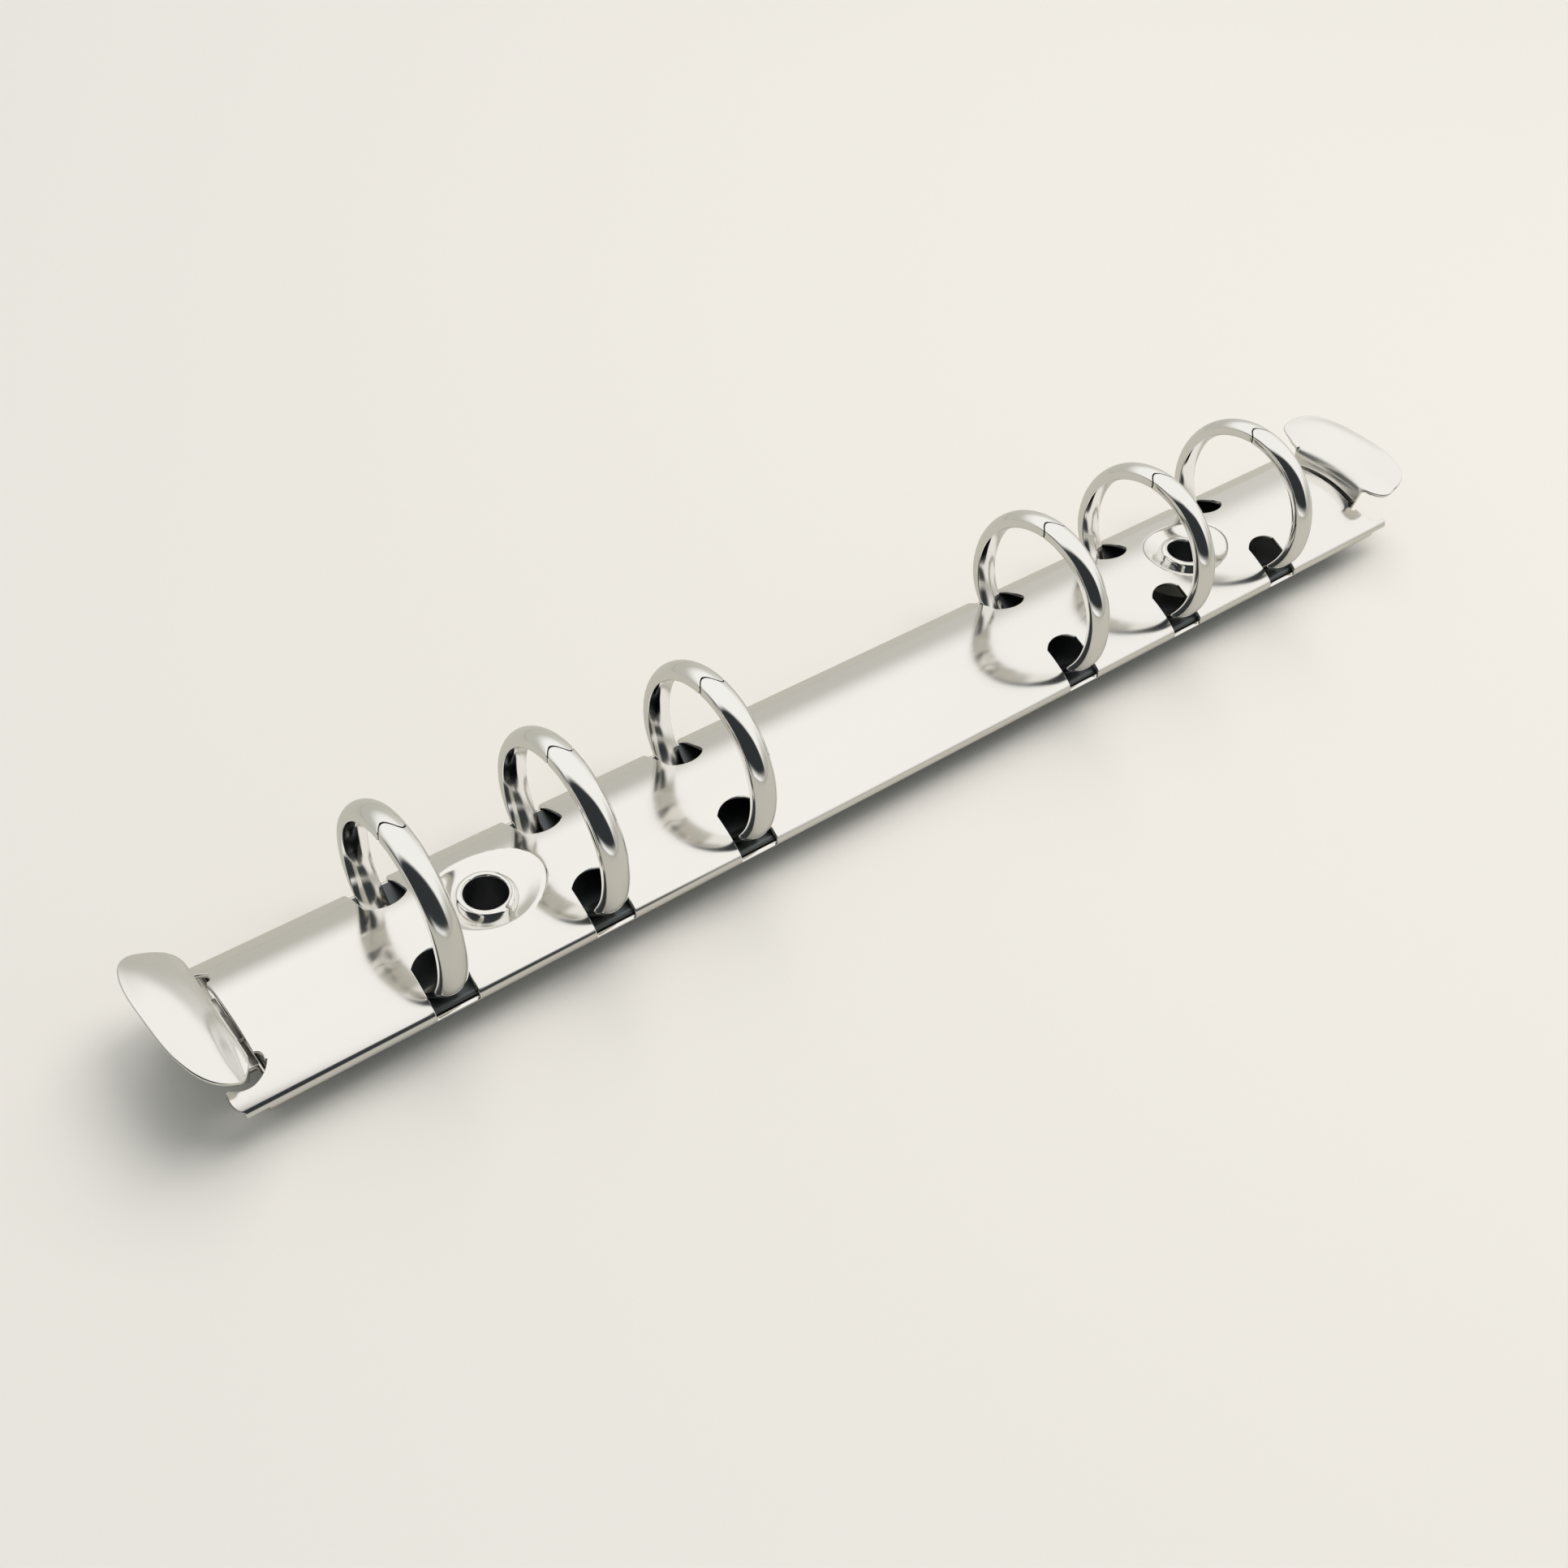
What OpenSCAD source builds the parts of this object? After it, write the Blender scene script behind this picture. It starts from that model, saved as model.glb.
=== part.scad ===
// Ring binder mechanism for a personal organiser: an arched sheet-steel housing with two
// hollow mounting posts, two hinge plates that snap over centre inside it, two rows of ring
// halves and a thumb lever at each end.
// +X runs along the spine, +Z points out of the book, and Z = 0 is the plane of the post ends.

/* [Rings] */
// Outside diameter of a closed ring
ring_od = 22.2; // [20:0.1:24]
// Radial thickness of the ring wire
ring_t = 1.94; // [1.6:0.02:2.1]
// Width of the ring wire along the spine
ring_w = 3.06; // [2.6:0.02:3.3]
// Spacing of the rings inside each group of three
ring_pitch = 19; // [18:0.5:20]
// Spacing between the two inner rings
centre_pitch = 51; // [46:1:60]
// Radius of the crowned outer face of the wire
ring_face_r = 1.9; // [1.8:0.05:2.2]
// Radius of the crowned inner face of the wire
ring_back_r = 4.3; // [3.6:0.1:5]
// Thickness to which the foot of a ring half is drawn in
foot_t = 1.15; // [1.1:0.05:1.4]
// Radius at which the outer face of the foot is drawn in
foot_r = 7; // [6.5:0.1:7.5]
// Angle below the ring centre at which the foot begins to be drawn in
foot_turn = 8; // [6:1:10]
// Height of the ring centre above the crown of the housing
ring_lift = 3.75; // [3.4:0.05:4.1]
// How far the rounded nose of each ring joint reaches past the middle
seam_reach = 0.8; // [0.6:0.1:1.2]
// Offset of the ring joints towards the far row
seam_mid = 0.3; // [0:0.05:0.4]
// Gap between the faces of a closed ring joint
seam_gap = 0.06; // [0.04:0.01:0.12]

/* [Housing] */
// Length of the arched body between its two end edges
body_l = 165; // [164:0.2:180]
// Overall width across the rolled hems
plate_w = 19.2; // [18.6:0.1:20]
// Outside radius of the arch
plate_r = 16.4; // [15.4:0.1:18]
// Thickness of the housing sheet
sheet_t = 0.5; // [0.4:0.05:0.55]
// Outside radius of the rolled hem
hem_r = 1.05; // [1.05:0.01:1.15]
// Length of the flat lip under each hinge plate edge
lip_l = 0.7; // [0.5:0.05:0.75]
// Width of each ring slot along the spine
slot_w = 4.9; // [4.5:0.1:5]
// Offset of each slot from the middle of its ring, along the spine
slot_shift = 0.5; // [0:0.05:0.55]
// Distance from the middle line to the inner end of a slot
slot_in = 3.6; // [3.2:0.1:4.4]
// Radius of the curved inner end of a slot
slot_r = 3.2; // [2.6:0.1:5]
// How far each slot reaches down past the widest part of the hem
slot_drop = 0.2; // [0.1:0.05:0.3]

/* [Housing ends] */
// Reach of each corner ear past the body
ear_l = 4.1; // [3.4:0.05:4.4]
// Radius of the rounded tip of an ear
ear_tip_r = 1.3; // [1:0.05:1.4]
// Radius of the hollow inner edge of an ear
ear_hollow_r = 3.2; // [2.8:0.1:3.6]
// How far the hollow edge of a left ear is set back towards the middle line
ear_back_left = 1.35; // [0.3:0.05:1.6]
// How far the hollow edge of a right ear is set back towards the middle line
ear_back_right = 0.3; // [0.1:0.05:1.6]
// Distance from the middle line to the root of an ear
ear_in = 6.05; // [5.9:0.05:6.6]
// Radius of the relief notch beside the ear root
relief_r = 0.65; // [0.4:0.05:0.8]
// How far the outer side of an ear stands back from its tip
ear_flat = 0.3; // [0.1:0.05:0.4]
// Length of the hem past the body, below the ears
hem_end = 1; // [0.8:0.05:1.1]
// Length of the crimps that trap the lever journals in the hems
crimp_l = 0.7; // [0.4:0.05:0.8]
// Gap between a journal and the crimp on its outer side
crimp_gap = 0.1; // [0.08:0.01:0.15]
// Gap between a journal and the crimp on its inner side
crimp_gap_in = 0.25; // [0.1:0.05:0.3]

/* [Mounting posts] */
// Distance between the two posts
post_pitch = 108; // [104:0.5:112]
// Radius of the bore through a post
post_bore_r = 2.33; // [1.8:0.01:2.5]
// Radius of the post below the housing
post_r = 3.1; // [2.95:0.05:3.4]
// Radius of the neck that passes through the housing
post_neck_r = 2.75; // [2.7:0.01:2.85]
// Radius of the rolled rim on top of the dimple
rim_r = 3.4; // [3.2:0.05:3.6]
// Height of the rolled rim above the dimple floor
rim_h = 1.05; // [0.8:0.05:1.2]
// Distance from the end of a post up to the underside of the hem
post_drop = 3.1; // [2.8:0.1:5]
// Radius of the flat floor of the dimple round a post
dimple_r = 4.2; // [3.8:0.1:4.5]
// Depth of the dimple below the crown
dimple_h = 1.85; // [1.6:0.05:2]
// Width of the sloping wall of the dimple
dimple_slope = 2.1; // [1.8:0.1:2.2]

/* [Hinge plates] */
// Thickness of a hinge plate
blade_t = 0.8; // [0.6:0.02:0.84]
// Angle by which the closed hinge plates dip towards the middle
closed_dip = 6.5; // [5:0.1:7]
// Gap between the two hinge plates
blade_gap = 0.1; // [0.08:0.01:0.2]
// Distance from a lever journal back to the end of the hinge plates
blade_end = 3.4; // [3.35:0.01:3.45]
// Clearance between a hinge plate and a dimple or post
cutout_gap = 0.2; // [0.1:0.05:0.4]
// Radius of the tenon that rivets a ring to its plate
tenon_r = 0.55; // [0.4:0.05:0.6]
// Clearance of the tenon in its hole
tenon_gap = 0.03; // [0.02:0.01:0.06]
// How far the tenon reaches up into the ring
tenon_in = 0.3; // [0.2:0.05:0.5]
// Radius of the rivet head below the plate
head_r = 0.75; // [0.65:0.05:0.8]
// Thickness of the rivet head
head_t = 0.35; // [0.25:0.05:0.45]

/* [Levers] */
// Width of the thumb pad across the spine
pad_w = 19.2; // [17:0.1:20]
// Offset of the left thumb pad towards the far row
pad_shift_left = 0.05; // [0:0.05:0.8]
// Offset of the right thumb pad towards the far row
pad_shift_right = 0.85; // [0:0.05:0.9]
// Turn of each pad on its neck, seen from above
pad_turn = 2.8; // [0:0.1:4]
// Reach of the thumb pad past the body
pad_reach = 7.75; // [6.8:0.05:8.2]
// Distance past the body at which the pad is widest
pad_waist = 3.7; // [3.2:0.1:4.2]
// Distance past the body at which the pad begins to widen
pad_start = 0.5; // [0.3:0.1:0.6]
// Squareness of the pad's rounded outline, 2 for an ellipse
pad_square = 2.7; // [2:0.1:3.2]
// Height of the outer edge of the pad above the crown
pad_edge_z = 4.05; // [3.6:0.05:4.6]
// Height of the pad's inner shelf above the crown
shelf_z = 2.3; // [1.9:0.05:2.6]
// Drop of the shelf towards its two sides
shelf_drop = 1.5; // [1:0.1:1.8]
// Extra drop of the two ends of the pad
side_drop = 0.4; // [0:0.05:0.6]
// Height of the pressed bulge in the pad
bulge_h = 1.4; // [0.6:0.1:1.8]
// Place of the top of the bulge, as a share of the reach of the pad
bulge_at = 0.52; // [0.5:0.01:0.56]
// Thickness of the lever sheet
lever_t = 0.6; // [0.5:0.05:0.75]
// Width of the lever neck where it meets the pad
neck_w = 11.7; // [10.8:0.1:11.8]
// Width of the lever neck at its foot
neck_foot_w = 9.6; // [9:0.1:10.4]
// Evenness of the neck's widening, 1 for straight sides
neck_flare = 0.8; // [0.6:0.1:1]
// Distance from the journal down to the foot of the neck
neck_drop = 0.5; // [0.3:0.05:0.5]
// Gap between the housing end and the lever neck
neck_gap = 0.65; // [0.4:0.05:0.8]
// Radius of the bend between neck and pad
bend_r = 0.9; // [0.6:0.1:1.2]
// Distance from the housing end back to the lever journal
journal_in = 0.5; // [0.4:0.05:0.6]
// Radius of the lever journal
journal_r = 0.45; // [0.35:0.01:0.46]
// Radius of the rounded knob at each end of the journal
knob_r = 0.49; // [0.46:0.01:0.5]
// Distance from the journal to the jaws that carry the hinge plates
toe_r = 4.59; // [4.56:0.01:4.62]
// Ratio of lever angle to hinge plate angle
lever_ratio = 1.7; // [1.68:0.01:1.72]
// Radius of the rounded jaw noses
nose_r = 0.3; // [0.25:0.01:0.32]
// Distance between the two jaw noses
jaw_span = 2.1; // [2.06:0.01:2.14]
// Half width of the jaws
jaw_hw = 1.6; // [1.2:0.1:1.7]
// Backward lean of the closed jaws
jaw_tilt = 18; // [17.5:0.1:18.5]
// Half length of the hub between the jaws and the neck
hub_x = 1.6; // [1.4:0.05:1.7]
// Height of the upper jaw finger above the journal
hub_top = 1.1; // [1:0.05:1.15]
// Distance behind the journal at which the upper finger starts to narrow
finger_at = 2.2; // [2:0.1:2.4]
// Thickness of the jaw fingers
finger_t = 0.6; // [0.4:0.05:0.7]

/* [Hidden] */
// Cross-section of the housing
hem_y = plate_w / 2 - hem_r;
hem_z = post_drop + hem_r;
arch_phi = asin(hem_y / (plate_r - hem_r));
arch_z = hem_z - (plate_r - hem_r) * cos(arch_phi);
crown_z = arch_z + plate_r;
groove_r = hem_r - sheet_t;
body_x = body_l / 2;
dimple_z = crown_z - dimple_h;
// Rings
ring_z = crown_z + ring_lift;
ring_r = (ring_od - ring_t) / 2;
ring_x = [for (i = [-2.5:2.5]) sign(i) * (centre_pitch / 2 + (abs(i) - 0.5) * ring_pitch)];
// Middle of the foot of a closed ring half, where it stands on its hinge plate
foot_mid = ring_od / 2 - ring_t + foot_t / 2;
foot_down = (ring_z - hem_z) * cos(closed_dip) + hem_y * sin(closed_dip) - blade_t / 2;
foot_y = foot_mid * cos(asin(foot_down / foot_mid) - closed_dip);
// Angle at which the swept wire begins, below its hinge plate
sweep_start = -65;
// Hinge plates, in the frame of their own hinge line
blade_w = hem_y - blade_gap / 2;
blade_x = body_x - journal_in - blade_end;
cutout_r = dimple_r + dimple_slope + cutout_gap;
// Levers, in the frame of their own journal
journal_x = body_x - journal_in;
dip_lever = closed_dip * lever_ratio;
jaw_c = [-toe_r * cos(dip_lever), -toe_r * sin(dip_lever)];
jaw_v = jaw_span / 2 * [-sin(jaw_tilt), cos(jaw_tilt)];
nose_low = jaw_c - jaw_v;
nose_high = jaw_c + jaw_v;
neck_x = journal_in + neck_gap;
neck_foot = hem_z - neck_drop;
pad_u0 = neck_gap + bend_r;
pad_rows = 15;
pad_cols = 20;
// Overlap of joined pieces, and a size past the edge of everything
eps = 0.01;
far = 40;

// ---- housing ----

// Half of the cross-section: the arch, the rolled hem and its lip, in Y and Z
module hem_section() {
    translate([hem_y, hem_z]) {
        difference() {
            circle(r = hem_r, $fn = 48);
            circle(r = groove_r, $fn = 48);
            polygon([[0, 0], [0, -far], [-far, -far], [-far, far],
                [far * sin(arch_phi), far * cos(arch_phi)]]);
        }
        translate([-lip_l, -hem_r]) square([lip_l + eps, sheet_t]);
    }
}

// Full cross-section of the housing
module housing_section() {
    intersection() {
        translate([0, arch_z]) difference() {
            circle(r = plate_r, $fn = 240);
            circle(r = plate_r - sheet_t, $fn = 240);
        }
        polygon([[0, arch_z], [far * sin(arch_phi), arch_z + far * cos(arch_phi)],
            [-far * sin(arch_phi), arch_z + far * cos(arch_phi)]]);
    }
    hem_section();
    mirror([1, 0]) hem_section();
}

// Extrudes a Y-Z outline along X from x0 over the length l
module along_x(x0, l) {
    translate([x0, 0, 0]) rotate([90, 0, 90]) linear_extrude(height = l) children();
}

// Plan outline of one corner ear, with X measured from the body end
module ear_plan(back) {
    difference() {
        union() {
            translate([-eps, ear_in]) square([ear_l - ear_tip_r + eps, far]);
            translate([ear_l - ear_tip_r, hem_y]) circle(r = ear_tip_r, $fn = 48);
            translate([ear_l - ear_tip_r, hem_y]) square([ear_tip_r - ear_flat, far]);
        }
        translate([ear_l - ear_tip_r / 2, ear_in - back]) circle(r = ear_hollow_r, $fn = 64);
    }
}

// What is cut away past the +X end of the body to leave its two ears
module end_cut(back) {
    translate([body_x, 0, 0]) {
        linear_extrude(height = far) difference() {
            translate([0, -far / 2]) square([far, far]);
            for (s = [0, 1]) mirror([0, s]) ear_plan(back);
        }
        translate([hem_end, -far / 2, 0]) cube([far, far, hem_z]);
    }
}

// Plugs pressed into the hem grooves on both sides of a lever journal
module crimps() {
    for (sx = [0, 1], sy = [0, 1]) mirror([sx, 0, 0]) mirror([0, sy, 0])
        for (x = [-journal_r - crimp_gap_in - crimp_l, journal_r + crimp_gap])
            along_x(journal_x + x, crimp_l) translate([hem_y, hem_z])
                circle(r = (groove_r + hem_r) / 2, $fn = 32);
}

// Slot through which one ring half leaves the housing, on the +Y side
module slot_cut(x) {
    intersection() {
        translate([x + slot_shift - slot_w / 2, 0, hem_z - slot_drop]) cube([slot_w, far, far]);
        translate([x + slot_shift, slot_in + slot_r, 0]) union() {
            cylinder(r = slot_r, h = far, $fn = 48);
            translate([-slot_r, 0, 0]) cube([2 * slot_r, far, far]);
        }
    }
}

// Cone that follows the upper face of a dimple's wall, from the floor up over the height h
module dimple_room(h) {
    translate([0, 0, dimple_z])
        cylinder(r1 = dimple_r, r2 = dimple_r + dimple_slope * h / dimple_h, h = h, $fn = 96);
}

// Pressed dimple, still solid, centred on a mounting post
module dimple_form() {
    intersection() {
        translate([0, 0, dimple_z - sheet_t])
            cylinder(r1 = dimple_r + sheet_t / 2, r2 = dimple_r + dimple_slope + sheet_t,
                h = dimple_h + sheet_t, $fn = 96);
        along_x(-far / 2, far) translate([0, arch_z]) circle(r = plate_r, $fn = 240);
    }
}

module housing() {
    color("gainsboro") difference() {
        union() {
            difference() {
                along_x(-body_x - ear_l, body_l + 2 * ear_l) housing_section();
                end_cut(ear_back_right);
                mirror([1, 0, 0]) end_cut(ear_back_left);
            }
            crimps();
            for (s = [-1, 1]) translate([s * post_pitch / 2, 0, 0]) dimple_form();
        }
        for (s = [-1, 1]) translate([s * post_pitch / 2, 0, 0]) {
            dimple_room(2 * dimple_h);
            cylinder(r = post_neck_r + tenon_gap, h = far, $fn = 64);
        }
        for (x = ring_x, s = [0, 1]) mirror([0, s, 0]) slot_cut(x);
        for (sx = [0, 1], sy = [0, 1]) mirror([sx, 0, 0]) mirror([0, sy, 0])
            translate([body_x, ear_in - relief_r / 2, hem_z + hem_r])
                cylinder(r = relief_r, h = far, $fn = 32);
    }
}

// ---- hinge plates ----

// Moves children from the frame of the +Y hinge plate into place: local Y runs inwards from
// the hinge line and local Z is the plate's own upward normal
module on_blade() {
    translate([0, hem_y, hem_z]) rotate([closed_dip, 0, 0]) mirror([0, 1, 0]) children();
}

// Hinge plate on the +Y side
module blade() {
    difference() {
        on_blade() {
            translate([-blade_x, 0, -blade_t / 2]) cube([2 * blade_x, blade_w, blade_t]);
            translate([-blade_x, 0, 0]) rotate([0, 90, 0])
                cylinder(r = blade_t / 2, h = 2 * blade_x, $fn = 32);
        }
        for (s = [-1, 1]) translate([s * post_pitch / 2, 0, 0])
            cylinder(r = cutout_r, h = far, center = true, $fn = 64);
        for (x = ring_x) on_blade() translate([x, hem_y - foot_y, 0])
            cylinder(r = tenon_r + tenon_gap, h = far, center = true, $fn = 32);
    }
}

module blade_near() { color("darkgray") mirror([0, 1, 0]) blade(); }
module blade_far() { color("silver") blade(); }

// ---- rings ----

// Cross-section of the ring wire: X is the radius, Y is the spine direction. Both faces are
// crowned arcs and the outer one bulges more
module ring_section() {
    intersection() {
        translate([ring_r + ring_t / 2 - ring_face_r, 0]) circle(r = ring_face_r, $fn = 64);
        translate([ring_r - ring_t / 2 + ring_back_r, 0]) circle(r = ring_back_r, $fn = 96);
        translate([ring_r - ring_t, -ring_w / 2]) square([2 * ring_t, ring_w]);
    }
}

// Room taken by the far half at the joint: everything past the middle, with a round nose
// towards -Y on the +X side and a round socket for the other half's nose on the -X side
module far_side(gap) {
    nose = ring_w / 4 - gap / 2;
    nose_y = nose - seam_reach + gap / 2;
    socket = nose + gap;
    socket_y = seam_reach - nose;
    difference() {
        union() {
            translate([-far / 2, gap / 2, 0]) cube([far, far, far]);
            translate([ring_w / 4, nose_y, 0]) cylinder(r = nose, h = far, $fn = 48);
            translate([ring_w / 4 - nose, nose_y, 0]) cube([2 * nose, seam_reach, far]);
        }
        translate([-ring_w / 4, socket_y, 0]) cylinder(r = socket, h = far, $fn = 48);
        translate([-far / 2, -far / 2, 0]) cube([far / 2 + gap / 2, far / 2 + socket_y, far]);
    }
}

// Room for a ring half whose outer face is drawn in below the height of the ring centre
module foot_form() {
    translate([0, 0, ring_z]) rotate([90, 0, 90]) {
        rotate([0, 0, -foot_turn]) {
            translate([-far / 2, 0, -far / 2]) cube([far, far, far]);
            translate([ring_od / 2 - foot_r, 0, -far / 2]) cylinder(r = foot_r, h = far, $fn = 120);
        }
        translate([0, 0, -far / 2]) cylinder(r = ring_od / 2 - ring_t + foot_t, h = far, $fn = 180);
    }
}

// Ring half on the +Y side: an arc from the joint down to the hinge plate, and the tenon and
// rivet head that hold it there; s is 1, or -1 for a half that is then turned to the -Y side
module ring_half(s) {
    difference() {
        intersection() {
            translate([0, 0, ring_z]) rotate([90, 0, 90]) rotate([0, 0, sweep_start])
                rotate_extrude(angle = 180, $fn = 180) ring_section();
            foot_form();
            union() {
                translate([-far / 2, 0, 0]) cube([far, far, ring_z]);
                translate([0, s * seam_mid, ring_z]) far_side(seam_gap);
            }
        }
        on_blade() translate([-far / 2, -far / 2, -far + blade_t / 2]) cube([far, far, far]);
    }
    on_blade() translate([0, hem_y - foot_y, 0]) {
        translate([0, 0, -blade_t / 2 - eps]) cylinder(r = tenon_r, h = blade_t + tenon_in, $fn = 32);
        translate([0, 0, -blade_t / 2 - head_t]) cylinder(r = head_r, h = head_t, $fn = 32);
    }
}

module ring_near(i) {
    color("whitesmoke") translate([ring_x[i - 1], 0, 0]) rotate([0, 0, 180]) ring_half(-1);
}
module ring_far(i) {
    color("whitesmoke") translate([ring_x[i - 1], 0, 0]) ring_half(1);
}

// ---- levers ----

// Half width of the lever sheet at distance u past the body
function pad_hw(u) = u <= pad_start ? neck_w / 2
    : u <= pad_waist
    ? neck_w / 2 + (pad_w - neck_w) / 2 * sin(90 * (u - pad_start) / (pad_waist - pad_start))
    : pad_w / 2 * pow(max(0, 1 - pow((u - pad_waist) / (pad_reach - pad_waist), pad_square)),
        1 / pad_square);

// Height of the pad's upper face above the crown at distance u past the body and width v
function pad_z(u, v) =
    let (t = u / pad_reach, q = 2 * v / pad_w)
    let (bulge = max(0, 1 - pow((t - bulge_at) / (1 - bulge_at), 2) - q * q))
    (shelf_z - shelf_drop * q * q) * (1 - t) + pad_edge_z * t + bulge_h * bulge
        - side_drop * pow(q, 4);

// Share of the neck's upper width at the share h of its height
function neck_share(h) = (neck_foot_w + (neck_w - neck_foot_w) * pow(h, neck_flare)) / neck_w;

// Distances past the body of the rows of points along the pad, closer together at the rim
pad_u = [for (i = [1:pad_rows]) pad_u0 + (pad_reach - eps - pad_u0) * sin(90 * i / pad_rows)];

// Columns run across the sheet, rows from the foot of the neck to the outer rim. Each row is
// [distance past the body, share of the neck's height, share of the bend, share of the pad's
// shift and turn]
neck_rows = [for (i = [0:3]) [neck_gap, i / 3, 0, 0]];
bend_rows = [for (i = [1:4]) [neck_gap + bend_r * (1 - cos(22.5 * i)), 1, i / 4, 0]];
pad_side_rows = [for (u = pad_u) [u, 1, 1, min(1, (u - pad_u0) / (pad_waist - pad_u0))]];
lever_rows = concat(neck_rows, bend_rows, pad_side_rows);

// Point of the sheet's visible face; s runs from -1 to 1 across it
function lever_point(r, s, shift) =
    let (v = s * pad_hw(r[0]), pad = crown_z + pad_z(max(r[0], pad_u0), v))
    let (top = pad - bend_r, z = r[2] > 0 ? top + bend_r * sin(90 * r[2])
        : neck_foot + (top - neck_foot) * r[1])
    [r[0] - v * tan(pad_turn) * r[3], shift * r[3] + v * neck_share(r[1]), z];

// The same point on the hidden face, one sheet thickness away
function lever_back(r, s, shift) =
    let (p = lever_point(r, s, shift), a = 90 * r[2])
    [p[0] + lever_t * cos(a), p[1], p[2] - lever_t * sin(a)];

// Neck and pad of a lever as one bent sheet, X measured from the body end
module lever_sheet(shift) {
    nr = len(lever_rows);
    nc = pad_cols + 1;
    n = nr * nc;
    face = [for (r = lever_rows, j = [0:pad_cols]) lever_point(r, 2 * j / pad_cols - 1, shift)];
    back = [for (r = lever_rows, j = [0:pad_cols]) lever_back(r, 2 * j / pad_cols - 1, shift)];
    rim = concat([for (j = [0:pad_cols]) j],
        [for (i = [1:nr - 1]) i * nc + pad_cols],
        [for (j = [1:pad_cols]) (nr - 1) * nc + pad_cols - j],
        [for (i = [1:nr - 2]) (nr - 1 - i) * nc]);
    m = len(rim);
    // The two triangles of each cell of the visible face, the hidden one and the rim
    cells = [for (i = [0:nr - 2], j = [0:pad_cols - 1]) i * nc + j];
    upper = concat([for (c = cells) [c, c + 1, c + nc]],
        [for (c = cells) [c + 1, c + nc + 1, c + nc]]);
    lower = [for (f = upper) [f[2] + n, f[1] + n, f[0] + n]];
    edge = concat([for (k = [0:m - 1]) [rim[(k + 1) % m], rim[k], rim[k] + n]],
        [for (k = [0:m - 1]) [rim[(k + 1) % m], rim[k] + n, rim[(k + 1) % m] + n]]);
    polyhedron(points = concat(face, back), faces = concat(upper, lower, edge));
}

// Outline of the hub and the two jaw fingers in X and Z, with the journal at the origin
module jaw_plan() {
    low = nose_low[1] - nose_r;
    high = nose_high[1] + nose_r;
    for (p = [nose_low, nose_high]) translate(p) circle(r = nose_r, $fn = 32);
    translate([nose_low[0], low]) square([hub_x - nose_low[0], finger_t]);
    polygon([nose_high, [0, nose_high[1]], [0, hub_top], [-finger_at, hub_top], [nose_high[0], high]]);
    translate([-hub_x, low]) square([2 * hub_x, high - low]);
}

// Lever at the +X end
module lever(shift) {
    translate([journal_x, 0, hem_z]) {
        rotate([90, 0, 0]) linear_extrude(height = 2 * jaw_hw, center = true) jaw_plan();
        rotate([90, 0, 0]) cylinder(r = journal_r, h = 2 * hem_y, center = true, $fn = 32);
        for (s = [-1, 1]) translate([0, s * hem_y, 0]) sphere(r = knob_r, $fn = 32);
        translate([0, -neck_foot_w / 2, -journal_r])
            cube([neck_x + lever_t, neck_foot_w, 2 * journal_r]);
    }
    translate([body_x, 0, 0]) lever_sheet(shift);
}

module lever_right() { color("lightgray") lever(pad_shift_right); }
module lever_left() { color("lightgray") rotate([0, 0, 180]) lever(-pad_shift_left); }

// ---- mounting posts ----

// Hollow post: a shoulder under the dimple, a neck through it and a rolled rim above
module post() {
    rotate_extrude($fn = 96) difference() {
        union() {
            square([post_r, dimple_z - sheet_t]);
            square([post_neck_r, dimple_z + rim_h / 2]);
            translate([rim_r - rim_h / 2, dimple_z + rim_h / 2]) circle(r = rim_h / 2, $fn = 32);
            translate([0, dimple_z]) square([rim_r - rim_h / 2, rim_h]);
        }
        square([post_bore_r, far]);
    }
}

module post_left() { color("white") translate([-post_pitch / 2, 0, 0]) post(); }
module post_right() { color("white") translate([post_pitch / 2, 0, 0]) post(); }

housing();
blade_near();
blade_far();
ring_near(1);  // ring_near_1
ring_near(2);  // ring_near_2
ring_near(3);  // ring_near_3
ring_near(4);  // ring_near_4
ring_near(5);  // ring_near_5
ring_near(6);  // ring_near_6
ring_far(1);  // ring_far_1
ring_far(2);  // ring_far_2
ring_far(3);  // ring_far_3
ring_far(4);  // ring_far_4
ring_far(5);  // ring_far_5
ring_far(6);  // ring_far_6
lever_left();
lever_right();
post_left();
post_right();
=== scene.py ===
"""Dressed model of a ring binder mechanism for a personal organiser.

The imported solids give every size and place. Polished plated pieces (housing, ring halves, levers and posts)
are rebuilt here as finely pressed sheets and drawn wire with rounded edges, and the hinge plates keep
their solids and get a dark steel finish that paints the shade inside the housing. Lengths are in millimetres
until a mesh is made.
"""

import enum
import logging
import math
from dataclasses import dataclass, field
from typing import Callable, Iterable, Sequence

import bpy
import numpy as np
from mathutils import Matrix, Vector
from mathutils.geometry import delaunay_2d_cdt
from mathutils.kdtree import KDTree


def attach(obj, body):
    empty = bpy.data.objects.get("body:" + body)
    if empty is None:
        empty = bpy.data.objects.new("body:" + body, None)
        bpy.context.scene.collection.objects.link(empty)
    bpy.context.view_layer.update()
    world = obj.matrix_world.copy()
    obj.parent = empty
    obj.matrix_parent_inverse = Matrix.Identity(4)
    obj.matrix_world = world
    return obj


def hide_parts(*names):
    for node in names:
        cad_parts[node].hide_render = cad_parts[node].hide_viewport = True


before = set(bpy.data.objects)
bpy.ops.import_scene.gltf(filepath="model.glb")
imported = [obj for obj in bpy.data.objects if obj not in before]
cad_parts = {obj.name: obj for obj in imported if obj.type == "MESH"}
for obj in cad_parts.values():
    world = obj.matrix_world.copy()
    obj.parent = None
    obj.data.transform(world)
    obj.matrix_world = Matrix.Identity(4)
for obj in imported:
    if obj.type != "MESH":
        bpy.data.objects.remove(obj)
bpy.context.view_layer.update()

Socket = bpy.types.NodeSocket
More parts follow.
